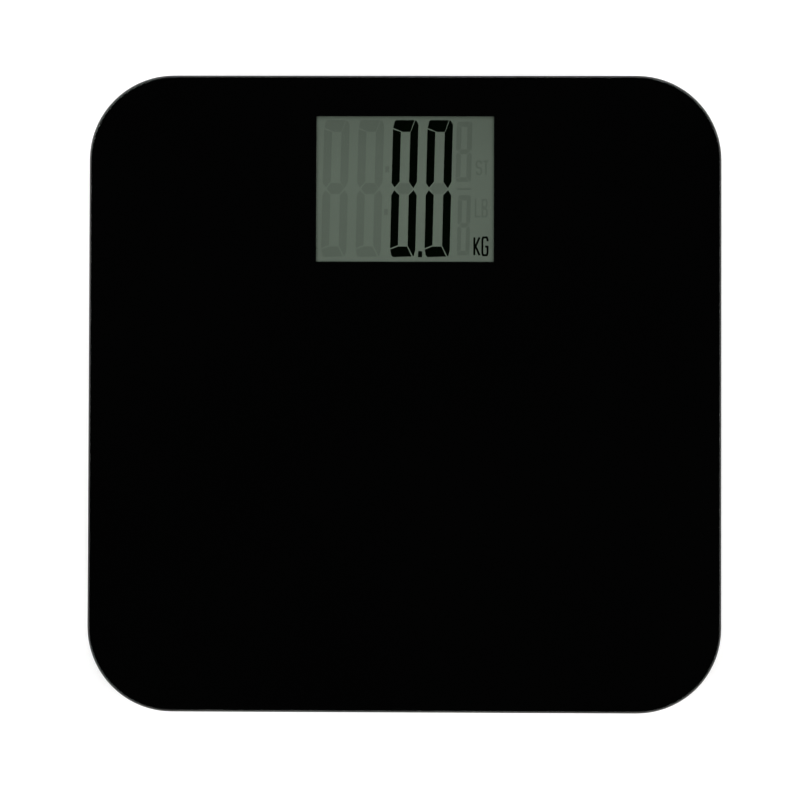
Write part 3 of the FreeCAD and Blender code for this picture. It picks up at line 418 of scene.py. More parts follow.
def makePlatformGlass():
    # clear tempered glass: flat polished faces with the faintest wiped film, and a painted dark edge that
    # stands in for the black print seen through the glass
    look = {
        "tint": (0.955, 0.985, 0.97),
        "drift": 0.006,
        "driftScale": 6.0,
        "through": (0.93, 0.95, 0.94),
        "ior": 1.52,
        "faceRoughness": 0.004,
        "filmRoughness": 0.03,
        "filmScale": 12.0,
        "filmAmount": 0.8,
        # painted shade: the near black of the edge faces stands in for the black print seen through the
        # glass edge
        "paintedEdgeDark": (0.003, 0.005, 0.004),
        "edgeRoughness": 0.05,
        "edgeChatter": 0.3,            # share by which the edge's roughness varies
        "edgeChatterScale": 900.0,
        "edgeSpan": (0.995, 0.93),     # how level a face is where the edge begins and where it is full
    }
    material, tree, surface = startMaterial("clearTemperedGlass", look["tint"])
    edge = remap(tree, mathNode(tree, "ABSOLUTE", facing(tree)), *look["edgeSpan"], 0.0, 1.0)
    film = placeGroup(tree, handSmudges, Scale=look["filmScale"], Amount=look["filmAmount"])
    rough = remap(tree, film["Mask"], 0.0, 1.0, look["faceRoughness"], look["filmRoughness"])
    chatter = noiseNode(tree, objectPlace(tree), look["edgeChatterScale"], rough=0.6)
    low, high = [look["edgeRoughness"] * (1 + sign * look["edgeChatter"]) for sign in (-1, 1)]
    edgeRough = multiply(tree, edge, remap(tree, chatter, *noiseSpan, low, high))
    feed(tree, surface.inputs["Roughness"], add(tree, rough, edgeRough, True))
    plain = rgba(look["tint"])
    drift = placeGroup(tree, colourDrift, Colour=plain, Spread=look["drift"], Scale=look["driftScale"])
    # painted shade: the edge faces are coloured near black, as the black print would look seen through them
    tone = mixColour(tree, edge, drift["Colour"], rgba(look["paintedEdgeDark"]))
    feed(tree, surface.inputs["Base Color"], tone)
    surface.inputs["Transmission Weight"].default_value = 1.0
    surface.inputs["IOR"].default_value = look["ior"]
    letThrough(tree, surface, look["through"])
    return material


def makeBackPrint():
    # screen-printed black ceramic ink: deep black where it lies on the glass, a little paler at its back
    look = {
        "colour": (0.0006, 0.0006, 0.0006),
        "backColour": (0.013, 0.013, 0.014),
        "drift": 0.25,
        "driftScale": 9.0,
        "roughness": (0.42, 0.55),
        "grainScale": 5200.0,
        "grainStrength": 0.05,
        "grainDepth": 0.00002,
    }
    material, tree, surface = startMaterial("blackCeramicInk", look["colour"])
    grain = placeGroup(tree, fineGrain, Scale=look["grainScale"])
    under = mathNode(tree, "LESS_THAN", facing(tree), -0.5)
    ink = mixColour(tree, under, rgba(look["colour"]), rgba(look["backColour"]))
    body = placeGroup(tree, colourDrift, Colour=ink, Spread=look["drift"], Scale=look["driftScale"])
    feed(tree, surface.inputs["Base Color"], body["Colour"])
    feed(tree, surface.inputs["Roughness"], remap(tree, grain["Patches"], 0.0, 1.0, *look["roughness"]))
    relief = bumpFrom(tree, grain["Height"], look["grainStrength"], look["grainDepth"])
    feed(tree, surface.inputs["Normal"], relief)
    surface.inputs["Specular IOR Level"].default_value = 0.0
    return material


# the clear window in the print, over the display, in mm
displayWindow = {
    "wide": 84.6,
    "tall": 69.4,
    "fromRear": 53.6,      # its middle, from the platform's rear edge
    "rightFrom": 0.1,      # where the shade towards the right begins, as a share of the half width
    "topFrom": 0.2,        # where the shade towards the top begins, as a share of the half height
    "cloudScale": 55.0,
    "cloudLevels": (0.985, 1.015),
    # size of the painted sparkle of glints on the film
    "sparkleScale": 9000.0,
}
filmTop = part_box("lcd_front_polarizer")[1].z
windowMiddle = Vector((0.0, cadBox[1].y - displayWindow["fromRear"] * mm, filmTop))


def makeDisplayShade():
    # painted shade: a slow fall of brightness towards the right and the top of the window, with the film's
    # fine sparkle painted in as glints
    tree, entry, leave = startGroup(
        "displayShade",
        [("Right Shade", numberSocket, 0.9), ("Top Shade", numberSocket, 0.9),
         ("Sparkle", numberSocket, 0.03)],
        [("Shade", numberSocket), ("Cloud", numberSocket)],
    )
    place = objectPlace(tree)
    parts = splitVector(tree, place)
    across = displayWindow["wide"] / 2 * mm
    along = displayWindow["tall"] / 2 * mm
    rightFrom = windowMiddle.x + across * displayWindow["rightFrom"]
    topFrom = windowMiddle.y + along * displayWindow["topFrom"]
    # painted shade: the film's colour falls to Right Shade and Top Shade towards the window's right and top
    # edges
    right = remap(tree, parts["X"], rightFrom, windowMiddle.x + across, 1.0, entry["Right Shade"])
    top = remap(tree, parts["Y"], topFrom, windowMiddle.y + along, 1.0, entry["Top Shade"])
    cloud = remap(tree, noiseNode(tree, place, displayWindow["cloudScale"]), *noiseSpan, 0.0, 1.0)
    low = mathNode(tree, "SUBTRACT", 1.0, entry["Sparkle"])
    high = add(tree, 1.0, entry["Sparkle"])
    # painted glints: a fine sparkle painted into the film's colour
    glints = noiseNode(tree, place, displayWindow["sparkleScale"], detail=2.0)
    sparkle = remap(tree, glints, *noiseSpan, low, high)
    uneven = multiply(tree, sparkle, remap(tree, cloud, 0.0, 1.0, *displayWindow["cloudLevels"]))
    feed(tree, leave["Shade"], multiply(tree, multiply(tree, right, top), uneven))
    feed(tree, leave["Cloud"], cloud)
    return tree


displayShade = makeDisplayShade()


def displayFilm(name, look, level):
    # the satin polarizer over the reflector
    material, tree, surface = startMaterial(name, look["colour"])
    shades = {"Right Shade": look["rightShade"], "Top Shade": look["topShade"]}
    shade = placeGroup(tree, displayShade, **shades)
    plain = tuple(channel * level for channel in look["colour"])
    # the film's colour carries the painted shade and the painted sparkle of displayShade
    feed(tree, surface.inputs["Base Color"], scaleColour(tree, plain, shade["Shade"]))
    feed(tree, surface.inputs["Roughness"], remap(tree, shade["Cloud"], 0.0, 1.0, *look["roughness"]))
    surface.inputs["Specular IOR Level"].default_value = look["gloss"]
    return material


def makeSegmentInk(look):
    # switched-on liquid crystal: near black with a green cast, uneven where the crystal thins
    material, tree, surface = startMaterial("litSegments", look["litColour"])
    plain = rgba(look["litColour"])
    body = placeGroup(tree, colourDrift, Colour=plain, Spread=look["litDrift"], Scale=look["litDriftScale"])
    feed(tree, surface.inputs["Base Color"], body["Colour"])
    satin = noiseNode(tree, objectPlace(tree), look["litSatinScale"])
    feed(tree, surface.inputs["Roughness"], remap(tree, satin, *noiseSpan, *look["litRoughness"]))
    surface.inputs["Specular IOR Level"].default_value = 0.0
    return material


def makeBoardGreen():
    # green solder mask over glass weave, with the copper runs showing as paler lines
    look = {
        "mask": (0.007, 0.070, 0.028),
        "overCopper": (0.022, 0.135, 0.052),
        "runPitch": 420.0,
        "runWidth": 0.09,
        "runHeight": 0.8,
        "weaveScale": 2600.0,
        "weaveHeight": 0.3,
        "roughness": (0.22, 0.4),
        "drift": 0.12,
        "driftScale": 60.0,
        "reliefStrength": 0.4,
        "reliefDepth": 0.00004,
    }
    material, tree, surface = startMaterial("greenSolderMask", look["mask"])
    cells = addNode(tree, "ShaderNodeTexBrick", offset=0.5)
    feed(tree, cells.inputs["Vector"], objectPlace(tree))
    cells.inputs["Scale"].default_value = look["runPitch"]
    cells.inputs["Mortar Size"].default_value = look["runWidth"]
    runs = mixColour(tree, cells.outputs["Fac"], rgba(look["mask"]), rgba(look["overCopper"]))
    body = placeGroup(tree, colourDrift, Colour=runs, Spread=look["drift"], Scale=look["driftScale"])
    feed(tree, surface.inputs["Base Color"], body["Colour"])
    weave = noiseNode(tree, objectPlace(tree), look["weaveScale"], detail=2.0)
    feed(tree, surface.inputs["Roughness"], remap(tree, weave, *noiseSpan, *look["roughness"]))
    raised = multiply(tree, cells.outputs["Fac"], look["runHeight"])
    height = add(tree, raised, multiply(tree, weave, look["weaveHeight"]))
    relief = bumpFrom(tree, height, look["reliefStrength"], look["reliefDepth"])
    feed(tree, surface.inputs["Normal"], relief)
    return material


def makeLeadSleeves():
    # every lead of a bundle has its own colour: red, white or black silicone
    look = {
        "colours": ((0.42, 0.012, 0.012), (0.62, 0.60, 0.57), (0.014, 0.014, 0.015)),
        "starts": (0.0, 0.33, 0.66),
        "drift": 0.12,
        "driftScale": 150.0,
        "roughness": (0.38, 0.52),
        "grainScale": 4000.0,
        "grainStrength": 0.15,
        "grainDepth": 0.00003,
    }
    material, tree, surface = startMaterial("leadSleeves", look["colours"][0])
    pick = addNode(tree, "ShaderNodeValToRGB")
    pick.color_ramp.interpolation = "CONSTANT"
    pick.color_ramp.elements.new(look["starts"][-1])
    for stop, start, tone in zip(pick.color_ramp.elements, look["starts"], look["colours"]):
        stop.position = start
        stop.color = rgba(tone)
    island = addNode(tree, "ShaderNodeNewGeometry").outputs["Random Per Island"]
    feed(tree, pick.inputs["Fac"], island)
    sleeve = pick.outputs["Color"]
    body = placeGroup(tree, colourDrift, Colour=sleeve, Spread=look["drift"], Scale=look["driftScale"])
    feed(tree, surface.inputs["Base Color"], body["Colour"])
    grain = placeGroup(tree, fineGrain, Scale=look["grainScale"])
    feed(tree, surface.inputs["Roughness"], remap(tree, grain["Patches"], 0.0, 1.0, *look["roughness"]))
    relief = bumpFrom(tree, grain["Height"], look["grainStrength"], look["grainDepth"])
    feed(tree, surface.inputs["Normal"], relief)
    return material


def makeDisplayPane():
    # the two thin panes with the crystal between them, seen only at their edges
    look = {
        "tint": (0.62, 0.68, 0.62),
        "through": (0.7, 0.75, 0.7),
        "ior": 1.52,
        "clearness": 0.8,
        "drift": 0.04,
        "driftScale": 40.0,
        "filmScale": 60.0,
        "filmAmount": 0.5,
        "roughness": (0.02, 0.12),
    }
    material, tree, surface = startMaterial("displayPane", look["tint"])
    plain = rgba(look["tint"])
    drift = placeGroup(tree, colourDrift, Colour=plain, Spread=look["drift"], Scale=look["driftScale"])
    feed(tree, surface.inputs["Base Color"], drift["Colour"])
    film = placeGroup(tree, handSmudges, Scale=look["filmScale"], Amount=look["filmAmount"])
    feed(tree, surface.inputs["Roughness"], remap(tree, film["Mask"], 0.0, 1.0, *look["roughness"]))
    surface.inputs["Transmission Weight"].default_value = look["clearness"]
    surface.inputs["IOR"].default_value = look["ior"]
    letThrough(tree, surface, look["through"])
    return material


# the parts, from the top down

dress(makePlatformGlass(), "glass_platform")
dress(makeBackPrint(), "black_back_print")
print("platform dressed")

displayLook = {
    "colour": (0.133, 0.154, 0.127),
    # rightShade and topShade: how dark the painted shade gets at the window's right and top edges
    "rightShade": 0.90,
    "topShade": 0.88,
    "roughness": (0.5, 0.6),
    "gloss": 0.02,
    "idleLevel": 0.83,            # idle segments against the bare film
    "litColour": (0.0002, 0.0012, 0.0002),
    "litDrift": 0.35,
    "litDriftScale": 300.0,
    "litRoughness": (0.5, 0.65),
    "litSatinScale": 500.0,
}
bareFilm = displayFilm("satinPolarizer", displayLook, 1.0)
idleFilm = displayFilm("idleSegments", displayLook, displayLook["idleLevel"])
segmentInk = makeSegmentInk(displayLook)
dress(bareFilm, "lcd_front_polarizer")
dress(makeDisplayPane(), "lcd_glass_cell")

reflector = {
    "colour": (0.46, 0.50, 0.42), "drift": 0.05, "roughness": (0.3, 0.4), "dust": 0.0,
    "grainScale": 6000.0, "grainStrength": 0.2,
    "wornColour": (0.5, 0.54, 0.46), "wear": 0.2, "wearWidth": 0.0002,
}
dress(mouldedPlastic("reflectorFilm", reflector), "lcd_reflector")

tray = {
    "colour": (0.0125, 0.0125, 0.0135), "drift": 0.16, "driftScale": 14.0,
    "roughness": (0.46, 0.60), "dust": 0.10,
    "grainScale": 1900.0, "grainStrength": 0.5,
    "wornColour": (0.05, 0.05, 0.052), "wear": 0.55, "wearWidth": 0.0005,
}
dress(mouldedPlastic("grainedBlackTray", tray), "base_tray")

door = {
    "colour": (0.0135, 0.0135, 0.0145), "drift": 0.12, "roughness": (0.42, 0.56), "dust": 0.08,
    "grainScale": 1900.0, "grainStrength": 0.45,
    "wornColour": (0.07, 0.07, 0.072), "wear": 0.8, "wearWidth": 0.0004,
}
dress(mouldedPlastic("grainedBlackDoor", door), "battery_door")

foot = {
    "colour": (0.016, 0.016, 0.017), "drift": 0.12, "roughness": (0.34, 0.46), "dust": 0.10,
    "grainScale": 2600.0, "grainStrength": 0.3,
    "wornColour": (0.06, 0.06, 0.062), "wear": 0.6, "wearWidth": 0.0004,
}
dress(mouldedPlastic("satinFootPlastic", foot), *everyCorner("foot"))

pad = {
    "colour": (0.040, 0.040, 0.041), "drift": 0.2, "roughness": (0.62, 0.8),
    "grainScale": 1500.0, "grainStrength": 0.6,
    "dust": 0.35, "dustColour": (0.22, 0.21, 0.19), "sheen": 0.15,
}
dress(softRubber("grippyPadRubber", pad), *everyCorner("foot_pad"))

button = {
    "colour": (0.055, 0.056, 0.060), "drift": 0.06, "roughness": (0.36, 0.46), "dust": 0.05,
    "grainScale": 3200.0, "grainStrength": 0.25,
    "wornColour": (0.10, 0.10, 0.105), "wear": 0.6, "wearWidth": 0.0003,
}
dress(mouldedPlastic("greyButtonPlastic", button), "unit_button")

label = {
    "colour": (0.60, 0.61, 0.62), "dullColour": (0.50, 0.51, 0.52), "brightColour": (0.7, 0.7, 0.7),
    "across": 2600.0, "along": 40.0, "lineStrength": 0.35,
    "roughness": (0.34, 0.50), "wear": 0.1, "wearWidth": 0.0003,
}
dress(sheetMetal("bareSilverLabel", label), "rating_label")

zinc = {
    "colour": (0.56, 0.56, 0.55), "dullColour": (0.40, 0.41, 0.42), "brightColour": (0.80, 0.80, 0.78),
    "across": 5200.0, "along": 900.0, "lineStrength": 0.3,
    "roughness": (0.24, 0.42), "wear": 0.7, "wearWidth": 0.0002,
}
dress(sheetMetal("zincPlatedScrew", zinc), "door_screw", "bracket_screws", "board_screws")

coinSteel = {
    "colour": (0.62, 0.61, 0.59), "dullColour": (0.52, 0.51, 0.50), "brightColour": (0.78, 0.77, 0.75),
    "across": 4200.0, "along": 220.0, "lineStrength": 0.25,
    "roughness": (0.16, 0.30), "wear": 0.4, "wearWidth": 0.0002,
}
dress(sheetMetal("brushedCellSteel", coinSteel), "coin_cell_can", "coin_cell_cap")

contact = {
    "colour": (0.66, 0.63, 0.56), "dullColour": (0.52, 0.50, 0.45), "brightColour": (0.82, 0.80, 0.74),
    "across": 5000.0, "along": 120.0, "lineStrength": 0.3,
    "roughness": (0.18, 0.34), "wear": 0.5, "wearWidth": 0.0001,
}
dress(sheetMetal("nickelSpringStrip", contact), "negative_contact", "positive_contact")

cellPlate = {
    "colour": (0.58, 0.58, 0.57), "dullColour": (0.46, 0.46, 0.46), "brightColour": (0.76, 0.76, 0.75),
    "across": 5200.0, "along": 240.0, "lineStrength": 0.2,
    "roughness": (0.30, 0.40), "wear": 0.5, "wearWidth": 0.0003,
}
dress(sheetMetal("stampedCellPlate", cellPlate), *everyCorner("load_cell"))

crystalCan = {
    "colour": (0.70, 0.70, 0.68), "dullColour": (0.60, 0.60, 0.58), "brightColour": (0.84, 0.84, 0.82),
    "across": 6000.0, "along": 300.0, "lineStrength": 0.2,
    "roughness": (0.14, 0.26), "wear": 0.3, "wearWidth": 0.0001,
}
dress(sheetMetal("drawnCrystalCan", crystalCan), "quartz_crystal")

whiteFrame = {
    "colour": (0.66, 0.66, 0.64), "drift": 0.04, "roughness": (0.40, 0.52), "dust": 0.03,
    "grainScale": 3000.0, "grainStrength": 0.2,
    "wornColour": (0.74, 0.74, 0.72), "wear": 0.3, "wearWidth": 0.0003,
}
dress(mouldedPlastic("whiteFramePlastic", whiteFrame), "lcd_holder", *everyCorner("cell_bracket"))

switchBlack = {
    "colour": (0.03, 0.03, 0.031), "drift": 0.08, "roughness": (0.36, 0.48), "dust": 0.02,
    "grainScale": 4000.0, "grainStrength": 0.2,
    "wornColour": (0.08, 0.08, 0.08), "wear": 0.3, "wearWidth": 0.0002,
}
dress(mouldedPlastic("switchHousing", switchBlack), "button_switch", "coin_cell_gasket")

switchPale = {
    "colour": (0.68, 0.66, 0.60), "drift": 0.04, "roughness": (0.32, 0.42), "dust": 0.02,
    "grainScale": 4000.0, "grainStrength": 0.15,
    "wornColour": (0.75, 0.73, 0.68), "wear": 0.2, "wearWidth": 0.0002,
}
dress(mouldedPlastic("palePlunger", switchPale), "switch_plunger")

chipBody = {
    "colour": (0.05, 0.045, 0.04), "drift": 0.25, "driftScale": 160.0,
    "roughness": (0.45, 0.62), "dust": 0.02,
    "grainScale": 5200.0, "grainStrength": 0.3,
    "wornColour": (0.12, 0.11, 0.10), "wear": 0.4, "wearWidth": 0.0001,
}
dress(mouldedPlastic("smallBoardParts", chipBody), "board_parts")

epoxy = {
    "colour": (0.008, 0.008, 0.009), "drift": 0.2, "roughness": (0.12, 0.28), "dust": 0.04,
    "grainScale": 700.0, "grainStrength": 0.25,
    "wornColour": (0.02, 0.02, 0.02), "wear": 0.1, "wearWidth": 0.0002,
}
dress(mouldedPlastic("blackEpoxyDrop", epoxy), "chip_glob")

foam = {
    "colour": (0.20, 0.20, 0.21), "drift": 0.12, "roughness": (0.8, 0.95),
    "grainScale": 1400.0, "grainStrength": 0.9,
    "dust": 0.05, "dustColour": (0.4, 0.4, 0.4), "sheen": 0.2,
}
dress(softRubber("greyBondingFoam", foam), "mounting_tape")

darkFoam = {
    "colour": (0.012, 0.012, 0.013), "drift": 0.15, "roughness": (0.85, 0.97),
    "grainScale": 1600.0, "grainStrength": 0.9,
    "dust": 0.0, "dustColour": (0.2, 0.2, 0.2), "sheen": 0.1,
}
dress(softRubber("blackWindowFoam", darkFoam), "window_gasket")

zebra = {
    "colour": (0.20, 0.20, 0.215), "drift": 0.1, "roughness": (0.5, 0.65),
    "grainScale": 5000.0, "grainStrength": 0.2,
    "dust": 0.02, "dustColour": (0.3, 0.3, 0.3), "sheen": 0.1,
}
dress(softRubber("stripedElastomer", zebra), "zebra_strips")

gel = {
    "colour": (0.74, 0.73, 0.68), "drift": 0.06, "roughness": (0.25, 0.4),
    "grainScale": 900.0, "grainStrength": 0.2,
    "dust": 0.04, "dustColour": (0.5, 0.5, 0.48), "sheen": 0.0,
}
dress(softRubber("whiteGaugeGel", gel), *everyCorner("strain_gauge"))

dress(makeBoardGreen(), "main_board")
dress(makeLeadSleeves(), "battery_leads", *everyCorner("cell_leads"))
print("housing and inner parts dressed")


# what the display shows, in mm from the middle of the window; a place comes before its size
display = {
    "digitPitch": 16.42,
    "firstDigit": (-33.29, 0.3),   # middle of the first digit
    "lean": 0.0231,            # sideways per unit of height
    "halfWide": 6.05,
    "halfTall": 32.7,
    "upright": 3.8,            # width of the upright bars
    "topBar": 5.6,             # height of the top bar
    "bottomBar": 5.05,         # height of the bottom bar
    "litBars": ("", "", "abcdef", "abcdef"),
    "point": ((7.26, -31.0), (1.95, 2.9)),
    "colon": (((-8.5, 9.5), (1.9, 2.9)), ((-9.0, -10.9), (1.9, 2.9))),
    "fractionBar": ((28.0, 0.1), (6.8, 0.9)),
    "smallDigits": (((28.0, 17.9), (0.62, 0.44)), ((28.0, -17.2), (0.50, 0.44))),   # shares of a large one
    "idleWords": {"ST": ((36.8, 10.3), (5.6, 6.2)), "LB": ((36.3, -9.0), (5.4, 8.0))},
    "idleStroke": 0.8,
    "idleGap": 1.1,
    "litWord": {"KG": ((36.2, -27.2), (6.3, 8.5))},
    "litStroke": 0.95,
    "litGap": 1.35,
    "lift": 0.02,              # above the film
    "sheet": 0.01,             # thickness of the segments
}


def segmentShapes():
    side, top = display["halfWide"], display["halfTall"]
    bar, cap, foot = display["upright"], display["topBar"], display["bottomBar"]
    return {
        "a": [(0.8 - side, top - 0.5), (1.6 - side, top), (side - 1.95, top), (side - bar + 0.05, top - cap),
              (4.5 - side, top - cap), (2.3 - side, top - cap + 1.0), (0.1 - side, top - 3.7)],
        "b": [(side - 1.6, top - 0.1), (side - 0.9, top - 0.4), (side, top - 2.1), (side, 3.3),
              (side - 1.65, 0.15), (side - bar, 3.2), (side - bar, top - cap - 0.3),
              (side - bar + 0.45, top - cap + 0.4)],
        "c": [(side - 1.5, -0.75), (side, -3.2), (side, 3.2 - top), (side - 0.7, 0.5 - top),
              (side - 1.1, 0.5 - top), (side - bar + 0.1, foot - top + 0.45), (side - bar, -3.2)],
        "d": [(0.2 - side, 3.6 - top), (3.9 - side, foot - top), (side - bar - 0.2, foot - top),
              (side - 1.7, 0.3 - top), (1.6 - side, -top), (0.7 - side, 1.0 - top)],
        "e": [(1.4 - side, -0.8), (bar - side, -3.2), (bar - side, foot - top + 0.65),
              (0.1 - side, 4.2 - top), (-side, -3.2)],
        "f": [(-side, top - 4.4), (2.3 - side, top - cap + 0.4), (bar - side, top - cap - 0.05),
              (bar - side, 3.3), (1.5 - side, 0.55), (-side, 2.6)],
        "g": [(2.0 - side, 0.0), (3.9 - side, 2.6), (side - 3.6, 2.6), (side - 1.9, 0.0),
              (side - 3.9, -2.6), (3.8 - side, -2.6)],
    }


def digitOutline(shape, middle, size=(1.0, 1.0)):
    wide, tall = size
    return [(middle[0] + x * wide + y * tall * display["lean"], middle[1] + y * tall) for x, y in shape]


def barOutline(middle, size):
    (x, y), (wide, tall) = middle, size
    lean = tall / 2 * display["lean"]
    return [
        (x - wide / 2 - lean, y - tall / 2),
        (x + wide / 2 - lean, y - tall / 2),
        (x + wide / 2 + lean, y + tall / 2),
        (x - wide / 2 + lean, y + tall / 2),
    ]


def strokeOutline(points, width):
    # one band of even width along a bent line, its corners mitred
    spots = [Vector(point) for point in points]
    left, right = [], []
    for place, spot in enumerate(spots):
        before = (spot - spots[place - 1]).normalized() if place else None
        after = (spots[place + 1] - spot).normalized() if place + 1 < len(spots) else None
        along = ((before or after) + (after or before)).normalized()
        side = Vector((-along.y, along.x))
        straight = after or before
        reach = width / 2 / max(0.5, side.dot(Vector((-straight.y, straight.x))))
        left.append(tuple(spot + side * reach))
        right.append(tuple(spot - side * reach))
    return left + right[::-1]


# each letter's strokes, in a box one wide and one tall
letterRuns = {
    "K": [[(0.0, 0.0), (0.0, 1.0)], [(1.0, 1.0), (0.24, 0.5), (1.0, 0.0)]],
    "G": [[(1.0, 0.78), (1.0, 0.88), (0.84, 1.0), (0.16, 1.0), (0.0, 0.88), (0.0, 0.12),
           (0.16, 0.0), (0.84, 0.0), (1.0, 0.12), (1.0, 0.48), (0.55, 0.48)]],
    "S": [[(1.0, 0.80), (1.0, 0.88), (0.82, 1.0), (0.18, 1.0), (0.0, 0.88), (0.0, 0.64), (0.18, 0.52),
           (0.82, 0.48), (1.0, 0.36), (1.0, 0.12), (0.82, 0.0), (0.18, 0.0), (0.0, 0.12), (0.0, 0.20)]],
    "T": [[(-0.08, 1.0), (1.08, 1.0)], [(0.5, 0.93), (0.5, -0.05)]],
    "L": [[(0.0, 1.05), (0.0, 0.0), (1.1, 0.0)]],
    "B": [[(0.0, 0.5), (0.0, 1.0), (0.8, 1.0), (0.96, 0.88), (0.96, 0.66), (0.8, 0.57), (0.15, 0.57)],
          [(0.0, 0.5), (0.0, 0.0), (0.82, 0.0), (1.0, 0.13), (1.0, 0.36), (0.82, 0.46), (0.15, 0.46)]],
}


def wordOutlines(words, stroke, gap):
    outlines = []
    for word, (middle, size) in words.items():
        wide = (size[0] - gap * (len(word) - 1)) / len(word)
        low = middle[1] - size[1] / 2
        for place, letter in enumerate(word):
            left = middle[0] - size[0] / 2 + place * (wide + gap)
            for run in letterRuns[letter]:
                spots = [(left + x * wide, low + y * size[1]) for x, y in run]
                outlines.append(strokeOutline(spots, stroke))
    return outlines


def displaySheet(name, outlines, material):
    # one thin closed sheet for each outline, all in one piece on the film
    mesh = bpy.data.meshes.new(name)
    sheets = bmesh.new()
    low = windowMiddle.z + display["lift"] * mm
    high = low + display["sheet"] * mm
    for outline in outlines:
        spots = [(windowMiddle.x + x * mm, windowMiddle.y + y * mm) for x, y in outline]
        area = sum(a[0] * b[1] - b[0] * a[1] for a, b in zip(spots, spots[1:] + spots[:1]))
        if area < 0:
            spots.reverse()
        bottom = [sheets.verts.new((x, y, low)) for x, y in spots]
        top = [sheets.verts.new((x, y, high)) for x, y in spots]
        sheets.faces.new(top)
        sheets.faces.new(list(reversed(bottom)))
        for near in range(len(spots)):
            far = (near + 1) % len(spots)
            sheets.faces.new((bottom[near], bottom[far], top[far], top[near]))
    sheets.to_mesh(mesh)
    sheets.free()
    piece = bpy.data.objects.new(name, mesh)
    bpy.context.scene.collection.objects.link(piece)
    mesh.materials.append(material)
    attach(piece, "base")


def makeDisplayFigures():
    shapes = segmentShapes()
    firstX, firstY = display["firstDigit"]
    lit, idle = [], []
    for place, names in enumerate(display["litBars"]):
        middle = (firstX + place * display["digitPitch"], firstY)
        for name, shape in shapes.items():
            target = lit if name in names else idle
            target.append(digitOutline(shape, middle))
    lit.append(barOutline(*display["point"]))
    idle += [barOutline(*dot) for dot in display["colon"]]
    for middle, size in display["smallDigits"]:
        idle += [digitOutline(shape, middle, size) for shape in shapes.values()]
    idle.append(barOutline(*display["fractionBar"]))
    idle += wordOutlines(display["idleWords"], display["idleStroke"], display["idleGap"])
    unit = wordOutlines(display["litWord"], display["litStroke"], display["litGap"])
    displaySheet("litDigits", lit, segmentInk)
    displaySheet("idleDigits", idle, idleFilm)
    displaySheet("litUnit", unit, segmentInk)


makeDisplayFigures()
print("display figures laid on the film")


# floor, light and camera

studio = {
    "floorColour": (0.80, 0.80, 0.79),
    "floorDrift": 0.01,
    "floorDriftScale": 3.0,
    "floorRoughness": (0.85, 0.95),
    "floorGrainScale": 40.0,
    "floorGlow": (0.52, 1.0),      # added only where the floor is seen, near the object and far from it
    "glowReach": (0.5, 2.0),       # in metres from the middle
    "floorSize": 9.0,
    "floorGap": 0.0002,            # below the lowest foot
    # brightness of the room by height, from the horizon to straight overhead
    "sky": ((0.0, 0.50), (0.07, 0.40), (0.20, 0.22), (0.42, 0.12), (0.93, 0.004)),
    "skyBlue": 1.01,
    "skyFloor": 0.65,
    "backdropTop": (0.04, 0.20),   # where the white backdrop starts to fade and where it has gone
}


def makeFloorMaterial():
    material, tree, surface = startMaterial("paleFloor", studio["floorColour"])
    plain = rgba(studio["floorColour"])
    spread, scale = studio["floorDrift"], studio["floorDriftScale"]
    drift = placeGroup(tree, colourDrift, Colour=plain, Spread=spread, Scale=scale)
    feed(tree, surface.inputs["Base Color"], drift["Colour"])
    grain = noiseNode(tree, objectPlace(tree), studio["floorGrainScale"])
    feed(tree, surface.inputs["Roughness"], remap(tree, grain, *noiseSpan, *studio["floorRoughness"]))
    surface.inputs["Specular IOR Level"].default_value = 0.0
    path = addNode(tree, "ShaderNodeLightPath").outputs
    mirrored = add(tree, path["Is Glossy Ray"], path["Is Transmission Ray"])
    seen = add(tree, path["Is Camera Ray"], mirrored, True)
    away = addNode(tree, "ShaderNodeVectorMath", operation="LENGTH")
    feed(tree, away.inputs[0], objectPlace(tree))
    level = remap(tree, away.outputs["Value"], *studio["glowReach"], *studio["floorGlow"])
    glow = addNode(tree, "ShaderNodeEmission")
    glow.inputs["Color"].default_value = white
    feed(tree, glow.inputs["Strength"], multiply(tree, seen, level))
    lit = addNode(tree, "ShaderNodeAddShader")
    tree.links.new(surface.outputs[0], lit.inputs[0])
    tree.links.new(glow.outputs[0], lit.inputs[1])
    # from beneath, and for the lamp beneath, the floor isn't there
    beneath = addNode(tree, "ShaderNodeNewGeometry").outputs["Backfacing"]
    gone = mathNode(tree, "MAXIMUM", beneath, path["Is Shadow Ray"])
    mixer = addNode(tree, "ShaderNodeMixShader")
    tree.links.new(gone, mixer.inputs["Fac"])
    tree.links.new(lit.outputs[0], mixer.inputs[1])
    tree.links.new(addNode(tree, "ShaderNodeBsdfTransparent").outputs[0], mixer.inputs[2])
    showSurface(tree, mixer.outputs[0])
    return material


def makeFloor():
    half = studio["floorSize"] / 2
    level = cadBox[0].z - studio["floorGap"]
    sides = ((-half, -half), (half, -half), (half, half), (-half, half))
    mesh = bpy.data.meshes.new("floor")
    mesh.from_pydata([(x, y, level) for x, y in sides], [], [(0, 1, 2, 3)])
    floor = bpy.data.objects.new("floor", mesh)
    bpy.context.scene.collection.objects.link(floor)
    mesh.materials.append(makeFloorMaterial())


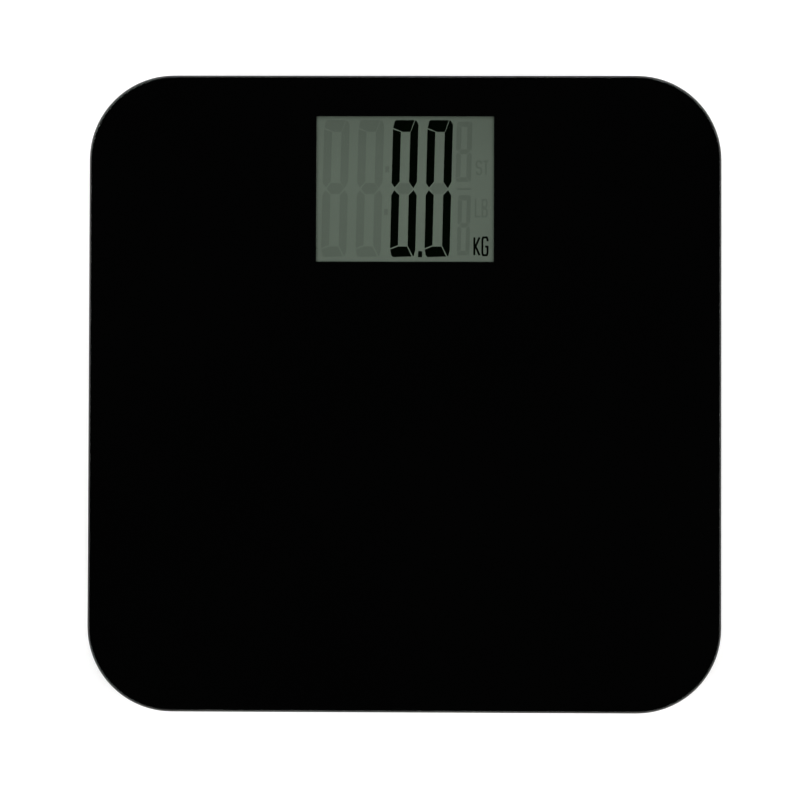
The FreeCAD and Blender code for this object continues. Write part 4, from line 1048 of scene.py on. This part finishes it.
def makeWorld():
    # bright all round the horizon, dark overhead, white behind the object
    world = bpy.data.worlds.new("studioRoom")
    bpy.context.scene.world = world
    world.use_nodes = True
    tree = world.node_tree
    tree.nodes.clear()
    height = splitVector(tree, addNode(tree, "ShaderNodeTexCoord").outputs["Generated"])["Z"]
    upper = addNode(tree, "ShaderNodeValToRGB")
    upper.color_ramp.interpolation = "EASE"
    for _ in range(len(studio["sky"]) - 2):
        upper.color_ramp.elements.new(0.5)
    for stop, (place, level) in zip(upper.color_ramp.elements, studio["sky"]):
        stop.position = place
        stop.color = (level, level, level * studio["skyBlue"], 1.0)
    feed(tree, upper.inputs["Fac"], height)
    below = mathNode(tree, "LESS_THAN", height, 0.0)
    under = studio["skyFloor"]
    sky = mixColour(tree, below, upper.outputs["Color"], (under, under, under, 1.0))
    # the white backdrop: all of it for the camera, and its lit lower part for gloss and glass
    path = addNode(tree, "ShaderNodeLightPath").outputs
    mirrored = mathNode(tree, "MAXIMUM", path["Is Glossy Ray"], path["Is Transmission Ray"])
    backdrop = remap(tree, height, *studio["backdropTop"], 1.0, 0.0)
    seen = mathNode(tree, "MAXIMUM", path["Is Camera Ray"], multiply(tree, mirrored, backdrop))
    background = addNode(tree, "ShaderNodeBackground")
    feed(tree, background.inputs["Color"], mixColour(tree, seen, sky, white))
    out = addNode(tree, "ShaderNodeOutputWorld")
    tree.links.new(background.outputs[0], out.inputs["Surface"])


# places and sizes in metres, power in watts; each lamp is turned to the object's middle
lamps = {
    "softLeft": {"place": (-1.75, -0.55, 1.55), "size": (1.3, 1.3), "power": 34.0},
    "softRight": {"place": (1.75, -0.30, 1.55), "size": (1.3, 1.3), "power": 31.0},
    "softBack": {"place": (0.10, 1.95, 1.45), "size": (1.6, 1.0), "power": 27.0},
    "softUnder": {"place": (0.0, 0.0, -1.6), "size": (1.8, 1.8), "power": 16.0},
}


def makeLamp(name, look):
    lamp = bpy.data.lights.new(name, "AREA")
    lamp.shape = "RECTANGLE"
    lamp.size, lamp.size_y = look["size"]
    lamp.energy = look["power"]
    holder = bpy.data.objects.new(name, lamp)
    holder.location = look["place"]
    aim = Vector((0.0, 0.0, cadBox[0].z)) - Vector(look["place"])
    holder.rotation_euler = aim.to_track_quat("-Z", "Y").to_euler()
    holder.visible_camera = False
    bpy.context.scene.collection.objects.link(holder)


# the camera hangs above the platform and looks almost straight down, display end up
cameraPlace = {
    "lens": 100.0,
    "sensor": 36.0,
    "nearest": 0.01,
    "sideways": 0.01194,
    "forward": -0.02059,
    "aboveGlass": 1.0526,
    "tilt": (0.95, 0.76, 0.165),   # degrees about X, Y and Z
}


def makeCamera():
    lens = bpy.data.cameras.new("camera")
    lens.lens = cameraPlace["lens"]
    lens.sensor_width = cameraPlace["sensor"]
    lens.clip_start = cameraPlace["nearest"]
    camera = bpy.data.objects.new("camera", lens)
    height = cadBox[1].z + cameraPlace["aboveGlass"]
    camera.location = (cameraPlace["sideways"], cameraPlace["forward"], height)
    camera.rotation_euler = [math.radians(turn) for turn in cameraPlace["tilt"]]
    bpy.context.scene.collection.objects.link(camera)
    bpy.context.scene.camera = camera


makeFloor()
makeWorld()
for name, look in lamps.items():
    makeLamp(name, look)
makeCamera()
bpy.context.scene.view_settings.view_transform = "Standard"
print("floor, light and camera placed")
